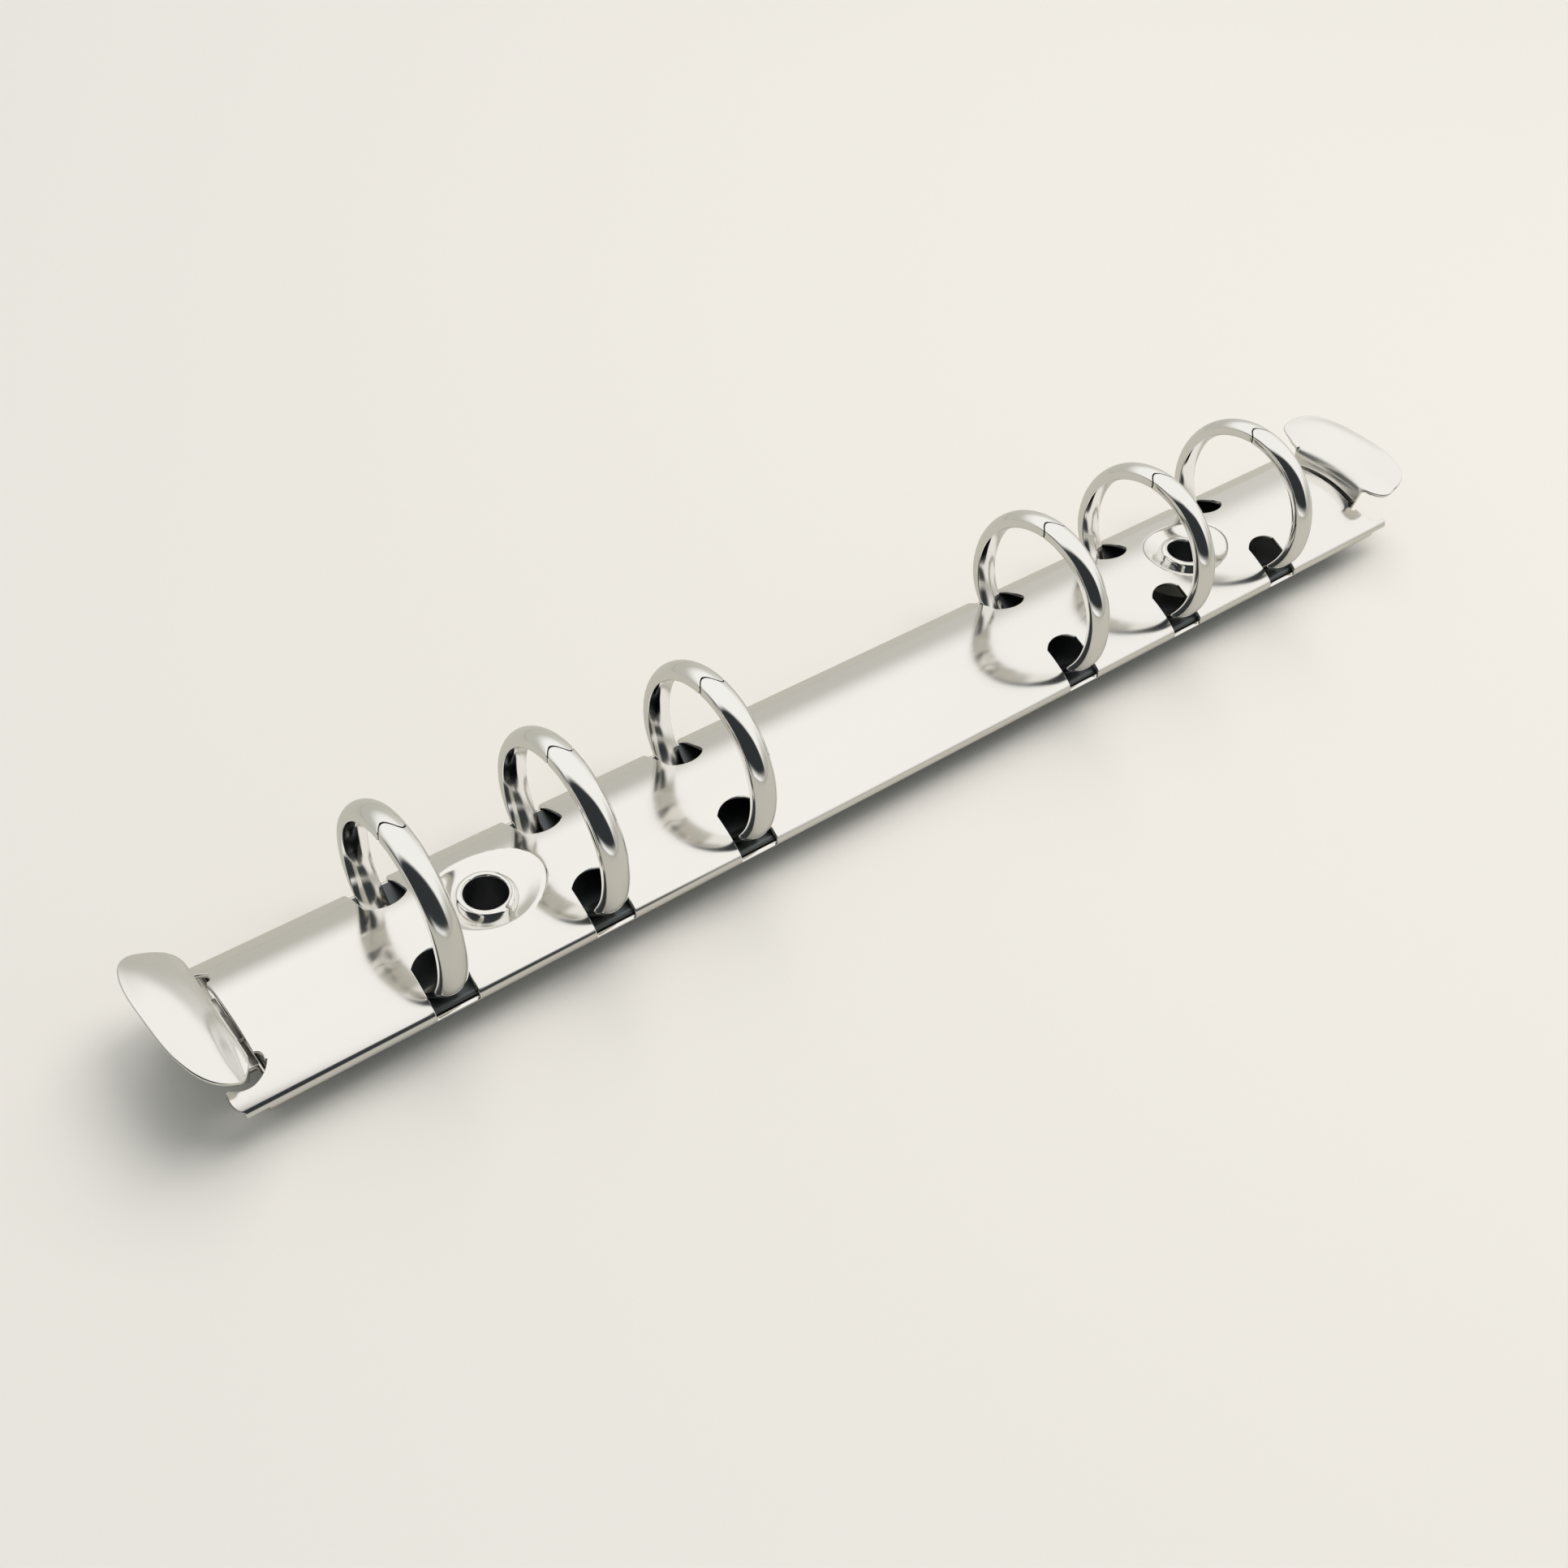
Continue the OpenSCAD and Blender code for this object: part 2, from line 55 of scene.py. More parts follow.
Colour = tuple[float, float, float]
Place = tuple[float, float, float]
Pair = tuple[float, float]

LOG = logging.getLogger("binder")
MM = 0.001
HAZE_SCALE = 90.0
HAZE_DETAIL = 4.0
HAZE_RANGE = (0.3, 0.7)
MARK_DETAIL = 2.0
MARK_RELIEF_MM = 0.02
WAVE_SCALE = 260.0
WAVE_DETAIL = 1.0


# ---- node trees ----


@dataclass
class Wiring:
    """Adds nodes to one node tree and links them."""

    tree: bpy.types.NodeTree

    def node(self, kind: str) -> bpy.types.Node:
        """Adds a node of a kind."""
        return self.tree.nodes.new(kind)

    def feed(self, target: Socket, value: Socket | Colour | float) -> None:
        """Links a socket to an input, or sets a colour or a number on it."""
        if isinstance(value, Socket):
            self.tree.links.new(value, target)
        elif isinstance(value, tuple):
            target.default_value = (*value, 1.0)
        else:
            target.default_value = value

    def noise(self, place: Socket, scale: float, detail: float) -> Socket:
        """Adds a noise texture.

        Args:
            place: Socket that gives the place.
            scale: Scale of the noise.
            detail: Number of finer layers.

        Returns:
            The socket with the noise value.
        """
        node = self.node("ShaderNodeTexNoise")
        node.inputs["Scale"].default_value = scale
        node.inputs["Detail"].default_value = detail
        self.feed(node.inputs["Vector"], place)
        return node.outputs["Fac"]

    def blend(self, share: Socket, first: Socket | Colour, second: Socket | Colour) -> Socket:
        """Adds a mix of two colours.

        Args:
            share: Socket with the share of the second colour.
            first: Socket or value of the first colour.
            second: Socket or value of the second colour.

        Returns:
            The socket with the mixed colour.
        """
        node = self.node("ShaderNodeMix")
        node.data_type = "RGBA"
        self.feed(node.inputs["Factor"], share)
        self.feed(node.inputs["A"], first)
        self.feed(node.inputs["B"], second)
        return node.outputs["Result"]

    def calc(self, operation: str, *values: Socket | float) -> Socket:
        """Adds a calculation.

        Args:
            operation: Name of the operation.
            values: Sockets or numbers that it works on.

        Returns:
            The socket with the result.
        """
        node = self.node("ShaderNodeMath")
        node.operation = operation
        for target, value in zip(node.inputs, values):
            self.feed(target, value)
        return node.outputs["Value"]

    def plus(self, first: Socket, second: Socket) -> Socket:
        """Adds a sum."""
        return self.calc("ADD", first, second)

    def times(self, first: Socket, second: Socket | float) -> Socket:
        """Adds a product."""
        return self.calc("MULTIPLY", first, second)

    def ramp(self, value: Socket, zero: float, one: float) -> Socket:
        """Adds a smooth step from 0 to 1.

        Args:
            value: Socket with the value.
            zero: Value at which the step is 0.
            one: Value at which the step is 1.

        Returns:
            The socket with the step.
        """
        node = self.node("ShaderNodeMapRange")
        node.interpolation_type = "SMOOTHSTEP"
        node.inputs["From Min"].default_value = min(zero, one)
        node.inputs["From Max"].default_value = max(zero, one)
        node.inputs["To Min"].default_value = 0.0 if zero < one else 1.0
        node.inputs["To Max"].default_value = 1.0 if zero < one else 0.0
        self.feed(node.inputs["Value"], value)
        return node.outputs["Result"]


# ---- finishes ----


class Grain(enum.Enum):
    """Which way the fine polishing marks of a surface run."""

    ALONG_SPINE = (0.12, 1.0, 1.0)
    ALL_WAYS = (1.0, 1.0, 1.0)
    ACROSS_SPINE = (1.0, 0.15, 1.0)


@dataclass(frozen=True)
class PlatedFinish:
    """A polished or plain metal surface.

    Attributes:
        name: Name of the material.
        slot: Material slot of the record that it belongs to. It is not used.
        light: Colour of the clean metal.
        dull: Colour of the slightly hazed patches.
        roughness: Lowest and highest roughness.
        grain: Direction of the polishing marks.
        mark_scale: Number of marks per metre.
        mark_depth: Strength of the marks in the relief.
        wave: Height of the broad waves that polishing leaves, in millimetres.
    """

    name: str
    slot: str
    light: Colour
    dull: Colour
    roughness: Pair
    grain: Grain = Grain.ALONG_SPINE
    mark_scale: float = 2600.0
    mark_depth: float = 0.02
    wave: float = 0.0

    def material(self) -> bpy.types.Material:
        """Returns the material, made on first use."""
        made = bpy.data.materials.get(self.name)
        if made:
            return made
        made = bpy.data.materials.new(self.name)
        made.use_nodes = True
        wires = Wiring(made.node_tree)
        shader = made.node_tree.nodes["Principled BSDF"]
        shader.inputs["Metallic"].default_value = 1.0
        place = wires.node("ShaderNodeTexCoord").outputs["Object"]
        stretch = wires.node("ShaderNodeMapping")
        stretch.inputs["Scale"].default_value = self.grain.value
        wires.feed(stretch.inputs["Vector"], place)
        grained = stretch.outputs["Vector"]
        haze = wires.noise(grained, HAZE_SCALE, HAZE_DETAIL)
        wires.feed(shader.inputs["Base Color"], wires.blend(haze, self.light, self.dull))
        wires.feed(shader.inputs["Roughness"], self._spread(wires, haze))
        wires.feed(shader.inputs["Normal"], self._relief(wires, place, grained))
        return made

    def _spread(self, wires: Wiring, haze: Socket) -> Socket:
        """Returns the roughness, spread evenly over the haze."""
        node = wires.node("ShaderNodeMapRange")
        node.inputs["From Min"].default_value, node.inputs["From Max"].default_value = HAZE_RANGE
        node.inputs["To Min"].default_value, node.inputs["To Max"].default_value = self.roughness
        wires.feed(node.inputs["Value"], haze)
        return node.outputs["Result"]

    def _relief(self, wires: Wiring, place: Socket, grained: Socket) -> Socket:
        """Returns the surface direction with the polishing marks and, where there are any, the waves."""
        relief = wires.node("ShaderNodeBump")
        relief.inputs["Strength"].default_value = self.mark_depth
        relief.inputs["Distance"].default_value = MARK_RELIEF_MM * MM
        wires.feed(relief.inputs["Height"], wires.noise(grained, self.mark_scale, MARK_DETAIL))
        if self.wave:
            swell = wires.node("ShaderNodeBump")
            swell.inputs["Strength"].default_value = 1.0
            swell.inputs["Distance"].default_value = self.wave * MM
            wires.feed(swell.inputs["Height"], wires.noise(place, WAVE_SCALE, WAVE_DETAIL))
            wires.feed(relief.inputs["Normal"], swell.outputs["Normal"])
        return relief.outputs["Normal"]

    def add_to(self, piece: bpy.types.Object, faces: Iterable[int]) -> None:
        """Gives some faces of a piece this finish as one more material."""
        piece.data.materials.append(self.material())
        for face in faces:
            piece.data.polygons[face].material_index = len(piece.data.materials) - 1

    def dress(self, piece: bpy.types.Object, body: str, *nodes: str) -> None:
        """Gives a piece this finish and fastens it to its body.

        Args:
            piece: The piece to dress.
            body: Name of the body that it moves with.
            nodes: Names of the solids that it stands for.
        """
        piece.data.materials.clear()
        piece.data.materials.append(self.material())
        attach(piece, body)
        if nodes:
            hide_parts(*nodes)
        LOG.info("%s rides on %s in %s", piece.name, body, self.name)


HOUSING_FINISH = PlatedFinish(
    "polished_housing", "housing_plating", (0.90, 0.885, 0.855), (0.86, 0.845, 0.815), (0.09, 0.16)
)
RING_FINISH = PlatedFinish(
    "polished_rings", "ring_plating", (0.90, 0.89, 0.865), (0.85, 0.84, 0.81), (0.06, 0.13),
    Grain.ACROSS_SPINE, wave=0.05,
)
LEVER_FINISH = PlatedFinish(
    "polished_levers", "lever_plating", (0.90, 0.885, 0.855), (0.86, 0.845, 0.815), (0.16, 0.25),
    Grain.ALL_WAYS, wave=0.04,
)
POST_FINISH = PlatedFinish(
    "polished_posts", "post_plating", (0.88, 0.87, 0.845), (0.84, 0.83, 0.80), (0.06, 0.13), Grain.ALL_WAYS
)
# Hinge plates: steel darkened to near black as painted shade, so the slots and the housing's inside read dark.
PLATE_SHADE_FINISH = PlatedFinish(
    "plate_steel_painted_shade", "hinge_plate_steel", (0.16, 0.17, 0.175), (0.10, 0.11, 0.115), (0.32, 0.5), mark_depth=0.1
)
# Ring joint faces and their rounded edges: dark grey, painted shade for the rings' joints.
JOINT_SHADE_FINISH = PlatedFinish(
    "ring_joint_painted_shade", "ring_plating", (0.14, 0.145, 0.15), (0.08, 0.083, 0.087), (0.45, 0.65), Grain.ALL_WAYS
)
# Post bores: darkened as painted shade inside the hollow posts.
BORE_SHADE_FINISH = PlatedFinish(
    "post_bore_painted_shade", "post_plating", (0.22, 0.23, 0.25), (0.12, 0.13, 0.14), (0.4, 0.6), Grain.ALL_WAYS
)


# ---- shapes ----


# Turned profiles stop this short of their axis.
AXIS_R = 0.01


def unit(v: np.ndarray) -> np.ndarray:
    """Returns the vectors of the last axis scaled to length one."""
    return v / np.maximum(np.linalg.norm(v, axis=-1, keepdims=True), 1e-12)


def soft_min(a: np.ndarray, b: np.ndarray, k: float) -> np.ndarray:
    """Returns the lower of two heights, rounded over a width k where they cross."""
    h = np.maximum(k - np.abs(a - b), 0.0) / k
    return np.minimum(a, b) - h * h * k / 4


def soft_max(a: np.ndarray, b: np.ndarray, k: float) -> np.ndarray:
    """Returns the higher of two heights, rounded over a width k where they cross."""
    return -soft_min(-a, -b, k)


def arc(cx: float, cy: float, r: float, start: float, end: float, count: int) -> np.ndarray:
    """Returns count points on an arc between two angles in degrees."""
    t = np.radians(np.linspace(start, end, count))
    return np.stack([cx + r * np.cos(t), cy + r * np.sin(t)], -1)


def resample(path: np.ndarray, step: float) -> np.ndarray:
    """Returns a closed path with points added so that no side is longer than step."""
    out = []
    for a, b in zip(path, np.roll(path, -1, 0)):
        count = max(1, math.ceil(np.linalg.norm(b - a) / step))
        out.extend(a + (b - a) * i / count for i in range(count))
    return np.array(out)


def signed_area(path: np.ndarray) -> float:
    """Returns the area inside a closed path, positive when it runs anticlockwise."""
    x, y = path.T
    return float(np.sum(x * np.roll(y, -1) - y * np.roll(x, -1)) / 2)


def inset(path: np.ndarray, distance: float) -> np.ndarray:
    """Moves a closed path towards its left side."""
    ahead = unit(np.roll(path, -1, 0) - path)
    left = np.stack([-ahead[:, 1], ahead[:, 0]], -1)
    both = unit(left + np.roll(left, 1, 0))
    spread = np.clip(np.sum(both * left, -1, keepdims=True), 0.5, 1.0)
    return path + both * distance / spread


def inside(points: np.ndarray, path: np.ndarray) -> np.ndarray:
    """Tells which points lie inside a closed path."""
    result = np.zeros(len(points), bool)
    x, y = points.T
    for (ax, ay), (bx, by) in zip(path, np.roll(path, -1, 0)):
        if ay != by:
            crosses = (ay > y) != (by > y)
            result ^= crosses & (x < (bx - ax) * (y - ay) / (by - ay) + ax)
    return result


@dataclass
class Shape:
    """Points, faces and surface normals of a piece, in millimetres."""

    points: np.ndarray
    faces: list[tuple[int, ...]]
    normals: np.ndarray

    def joined(self, other: "Shape") -> "Shape":
        """Returns this shape and another as one."""
        shift = len(self.points)
        return Shape(
            np.vstack([self.points, other.points]),
            self.faces + [tuple(i + shift for i in f) for f in other.faces],
            np.vstack([self.normals, other.normals]),
        )

    def moved(self, turn: np.ndarray, shift: Sequence[float] = (0.0, 0.0, 0.0)) -> "Shape":
        """Returns the shape turned or mirrored by a 3 x 3 matrix, then shifted."""
        faces = self.faces if np.linalg.det(turn) > 0 else [f[::-1] for f in self.faces]
        return Shape(self.points @ turn.T + np.array(shift), faces, self.normals @ turn.T)

    def piece(self, name: str) -> bpy.types.Object:
        """Makes the Blender object of the shape, with its own smooth normals."""
        mesh = bpy.data.meshes.new(name)
        mesh.from_pydata((self.points * MM).tolist(), [], self.faces)
        mesh.polygons.foreach_set("use_smooth", [True] * len(mesh.polygons))
        mesh.update()
        mesh.normals_split_custom_set_from_vertices(unit(self.normals).tolist())
        made = bpy.data.objects.new(name, mesh)
        bpy.context.scene.collection.objects.link(made)
        return made


@dataclass
class PressedSheet:
    """Sheet metal cut to a flat outline and pressed to a form, with rounded edges.

    Attributes:
        form: Gives the outer face's point for each flat point.
        outline: Closed flat path of the sheet's edge.
        holes: Closed flat paths of its holes.
        grid: Flat points that carry the surface between the edges.
        thickness: Thickness of the sheet.
        edge_r: Radius of the rounded edges.
        edge_step: Longest side of the edge paths.
        clear_share: Share of that step which the grid keeps clear of the edges.
    """

    form: Callable[[np.ndarray], np.ndarray]
    outline: np.ndarray
    holes: list[np.ndarray]
    grid: np.ndarray
    thickness: float
    edge_r: float = 0.1
    edge_step: float = 0.35
    clear_share: float = 0.6

    def _normals(self, flat: np.ndarray) -> np.ndarray:
        """Returns the outward normals of the outer face at flat points."""
        step = 1e-3
        along = self.form(flat + (step, 0)) - self.form(flat - (step, 0))
        across = self.form(flat + (0, step)) - self.form(flat - (0, step))
        return unit(np.cross(along, across))

    def _loops(self) -> list[np.ndarray]:
        """Returns the edge paths with the sheet on their left, drawn in by the edge radius."""
        loops = []
        for path, sign in [(self.outline, 1)] + [(h, -1) for h in self.holes]:
            path = path if signed_area(path) * sign > 0 else path[::-1]
            loops.append(inset(resample(path, self.edge_step), self.edge_r))
        return loops

    def _flat_mesh(self, loops: list[np.ndarray]) -> tuple[np.ndarray, np.ndarray, dict[int, int]]:
        """Fills the flat sheet between its edges with triangles.

        Args:
            loops: The edge paths.

        Returns:
            The flat points, the triangles, and the point of each place on the edge paths.
        """
        edge = np.vstack(loops)
        tree = KDTree(len(edge))
        for i, p in enumerate(edge):
            tree.insert((p[0], p[1], 0.0), i)
        tree.balance()
        near = np.array([tree.find((p[0], p[1], 0.0))[2] for p in self.grid])
        inner = self.grid[near > self.edge_step * self.clear_share]
        links, start = [], 0
        for loop in loops:
            n = len(loop)
            links += [(start + i, start + (i + 1) % n) for i in range(n)]
            start += n
        flat_in = np.vstack([edge, inner])
        result = delaunay_2d_cdt([Vector(p) for p in flat_in], links, [], 0, 1e-6)
        flat = np.array([v[:] for v in result[0]])
        place = {source: i for i, sources in enumerate(result[3]) for source in sources}
        tris = np.array([f for f in result[2]])
        middle = flat[tris].mean(1)
        keep = inside(middle, loops[0])
        for hole in loops[1:]:
            keep &= ~inside(middle, hole)
        tris = tris[keep]
        ab, ac = flat[tris[:, 1]] - flat[tris[:, 0]], flat[tris[:, 2]] - flat[tris[:, 0]]
        flip = ab[:, 0] * ac[:, 1] - ab[:, 1] * ac[:, 0] < 0
        tris[flip] = tris[flip][:, ::-1]
        return flat, tris, place

    def shape(self) -> Shape:
        """Builds the sheet.

        Returns:
            The closed shape with its outer face, inner face and rounded edges.
        """
        loops = self._loops()
        flat, tris, place = self._flat_mesh(loops)
        outer, normal = self.form(flat), self._normals(flat)
        count = len(outer)
        points = [outer, outer - self.thickness * normal]
        normals = [normal, -normal]
        faces = [tuple(t) for t in tris.tolist()] + [tuple(t[::-1] + count) for t in tris]
        total, start = 2 * count, 0
        for loop in loops:
            n = len(loop)
            ids = np.array([place[start + i] for i in range(n)])
            start += n
            ring, ring_n = self._edge_rings(outer[ids], normal[ids])
            rows = [ids, *(total + k * n + np.arange(n) for k in range(len(ring))), ids + count]
            for upper, lower in zip(rows, rows[1:]):
                for i in range(n):
                    j = (i + 1) % n
                    faces.append((int(upper[i]), int(lower[i]), int(lower[j]), int(upper[j])))
            points += ring
            normals += ring_n
            total += len(ring) * n
        return Shape(np.vstack(points), faces, np.vstack(normals))

    def _edge_rings(self, at: np.ndarray, normal: np.ndarray) -> tuple[list[np.ndarray], list[np.ndarray]]:
        """Returns the rings of points and normals that round one edge from face to face."""
        ahead = unit(np.roll(at, -1, 0) - np.roll(at, 1, 0))
        out = unit(np.cross(ahead, normal))
        rings, ring_normals = [], []
        for degrees in (25, 50, 75, 90, 105, 130, 155):
            t = math.radians(degrees)
            depth = self.edge_r if degrees <= 90 else self.thickness - self.edge_r
            if degrees == 90:
                depth = self.thickness / 2
            direction = math.cos(t) * normal + math.sin(t) * out
            rings.append(at - depth * normal + self.edge_r * direction)
            ring_normals.append(direction)
        return rings, ring_normals


def lathe(profile: np.ndarray, sides: int = 96) -> Shape:
    """Turns a closed profile of (radius, height) points about Z.

    Args:
        profile: Closed path that runs anticlockwise with the radius to the right.
        sides: Number of steps round the axis.

    Returns:
        The turned shape.
    """
    n = len(profile)
    t = np.linspace(0, 2 * np.pi, sides, endpoint=False)
    ahead = unit(np.roll(profile, -1, 0) - np.roll(profile, 1, 0))
    out = np.stack([ahead[:, 1], -ahead[:, 0]], -1)
    turn = np.stack([np.cos(t), np.sin(t)], -1)
    points, normals = (
        np.concatenate([pair[None, :, :1] * turn[:, None, :], np.repeat(pair[None, :, 1:], sides, 0)], -1)
        for pair in (profile, out)
    )
    faces = []
    for i in range(sides):
        a, b = i * n, (i + 1) % sides * n
        for j in range(n):
            k = (j + 1) % n
            faces.append((a + j, b + j, b + k, a + k))
    return Shape(points.reshape(-1, 3), faces, normals.reshape(-1, 3))


def rounded(corners: Sequence[Pair], radius: float, steps: int = 5) -> np.ndarray:
    """Rounds each corner of a closed path.

    Args:
        corners: The corners in order.
        radius: Length cut from each side of a corner, at most 1 / 2.2 of the side.
        steps: Points along each rounded corner.

    Returns:
        The closed path.
    """
    path = np.array(corners, float)
    out = []
    for before, at, after in zip(np.roll(path, 1, 0), path, np.roll(path, -1, 0)):
        reach = min(radius, np.linalg.norm(before - at) / 2.2, np.linalg.norm(after - at) / 2.2)
        a, b = at + unit(before - at) * reach, at + unit(after - at) * reach
        for i in range(steps):
            t = i / (steps - 1)
            out.append((1 - t) ** 2 * a + 2 * t * (1 - t) * at + t * t * b)
    return np.array(out)


def slab(profile: np.ndarray, half_width: float, soft: float = 0.08) -> Shape:
    """Extrudes a closed X-Z profile to both sides along Y.

    Args:
        profile: The closed profile.
        half_width: Distance of each side from the middle.
        soft: Width of the softened side edges.

    Returns:
        The closed shape.
    """
    big = profile if signed_area(profile) > 0 else profile[::-1]
    small = inset(big, soft)
    n = len(big)
    rows = [(small, -half_width), (big, -half_width + soft), (big, half_width - soft), (small, half_width)]
    points = np.vstack([np.stack([p[:, 0], np.full(n, y), p[:, 1]], -1) for p, y in rows])
    ahead = unit(np.roll(big, -1, 0) - np.roll(big, 1, 0))
    out = np.stack([ahead[:, 1], np.zeros(n), -ahead[:, 0]], -1)
    normals = np.vstack([out + (0, y, 0) for y in (-1.0, -0.2, 0.2, 1.0)])
    faces = [tuple(range(n)), tuple(range(4 * n - 1, 3 * n - 1, -1))]
    for k in range(3):
        for i in range(n):
            j = (i + 1) % n
            faces.append((k * n + i, (k + 1) * n + i, (k + 1) * n + j, k * n + j))
    return Shape(points, faces, normals)


# ---- sizes shared by the pieces ----


@dataclass(frozen=True)
class Spine:
    """Driving sizes of the mechanism, the same as those of its solids.

    Attributes:
        plate_w: Width of the housing over its hems.
        plate_r: Radius of the arch's outer face.
        sheet_t: Thickness of the housing's sheet.
        hem_r: Radius of the rolled hems' outer face.
        lip_l: Length of the lip under each hem.
        body_l: Length of the housing without its ears.
        post_drop: Height of the underside of the hems above the floor.
        post_pitch: Distance between the posts.
        ring_od: Outer diameter of the rings.
        ring_t: Thickness of the wire, from the ring's inside to its outside.
        ring_w: Width of the wire along the spine.
        ring_pitch: Distance between the rings of one group.
        centre_pitch: Distance between the innermost rings of the two groups.
        ring_lift: Height of the ring centres above the crown.
        blade_t: Thickness of the hinge plates.
        closed_dip: Slope of the closed hinge plates, in degrees.
        journal_in: Distance of the levers' journals inward from the body's ends.
    """

    plate_w: float = 19.2
    plate_r: float = 16.4
    sheet_t: float = 0.5
    hem_r: float = 1.05
    lip_l: float = 0.7
    body_l: float = 165.0
    post_drop: float = 3.1
    post_pitch: float = 108.0
    ring_od: float = 22.2
    ring_t: float = 1.94
    ring_w: float = 3.06
    ring_pitch: float = 19.0
    centre_pitch: float = 51.0
    ring_lift: float = 3.75
    blade_t: float = 0.8
    closed_dip: float = 6.5
    journal_in: float = 0.5

    @property
    def hem_y(self) -> float:
        """Distance of the hinge line from the middle."""
        return self.plate_w / 2 - self.hem_r

    @property
    def hem_z(self) -> float:
        """Height of the hinge line."""
        return self.post_drop + self.hem_r

    @property
    def arch_phi(self) -> float:
        """Angle at which the arch passes into the hem, in radians."""
        return math.asin(self.hem_y / (self.plate_r - self.hem_r))

    @property
    def arch_z(self) -> float:
        """Height of the arch's centre line."""
        return self.hem_z - (self.plate_r - self.hem_r) * math.cos(self.arch_phi)

    @property
    def crown_z(self) -> float:
        """Height of the top of the housing."""
        return self.arch_z + self.plate_r

    @property
    def arch_s(self) -> float:
        """Distance round the section from the crown to the hem."""
        return self.plate_r * self.arch_phi

    @property
    def hem_s(self) -> float:
        """Distance round the section from the crown to the end of the hem's bend."""
        return self.arch_s + self.hem_r * (math.pi - self.arch_phi)

    @property
    def lip_s(self) -> float:
        """Distance round the section from the crown to the edge of the lip."""
        return self.hem_s + self.lip_l

    @property
    def post_x(self) -> Pair:
        """Places of the two posts along the spine."""
        return -self.post_pitch / 2, self.post_pitch / 2

    @property
    def ring_r(self) -> float:
        """Radius of the rings' centre line."""
        return (self.ring_od - self.ring_t) / 2

    @property
    def ring_z(self) -> float:
        """Height of the ring centres."""
        return self.crown_z + self.ring_lift

    @property
    def ring_x(self) -> list[float]:
        """Places of the six rings along the spine."""
        near = [self.centre_pitch / 2 + i * self.ring_pitch for i in range(3)]
        return [-x for x in reversed(near)] + near


SPINE = Spine()


class Side(enum.Enum):
    """The two ends of the mechanism."""

    LEFT = -1
    RIGHT = 1


@dataclass(frozen=True)
class Ear:
    """Corner ear of the housing: a round tip with a hollow behind it that clears the lever.

    Attributes:
        tip_r: Radius of the tip.
        tip_start: Angle at which the tip leaves the housing's side, in degrees.
        hollow_r: Radius of the hollow.
        hollow_x: Distance of the hollow's centre past the body.
        hollow_back: Distance of that centre inward from the ear's inner side.
    """

    tip_r: float
    tip_start: float
    hollow_r: float
    hollow_x: float
    hollow_back: float


LEFT_EAR = Ear(tip_r=1.65, tip_start=60.0, hollow_r=3.1, hollow_x=1.9, hollow_back=1.45)
RIGHT_EAR = Ear(tip_r=1.3, tip_start=40.0, hollow_r=3.2, hollow_x=3.45, hollow_back=0.3)


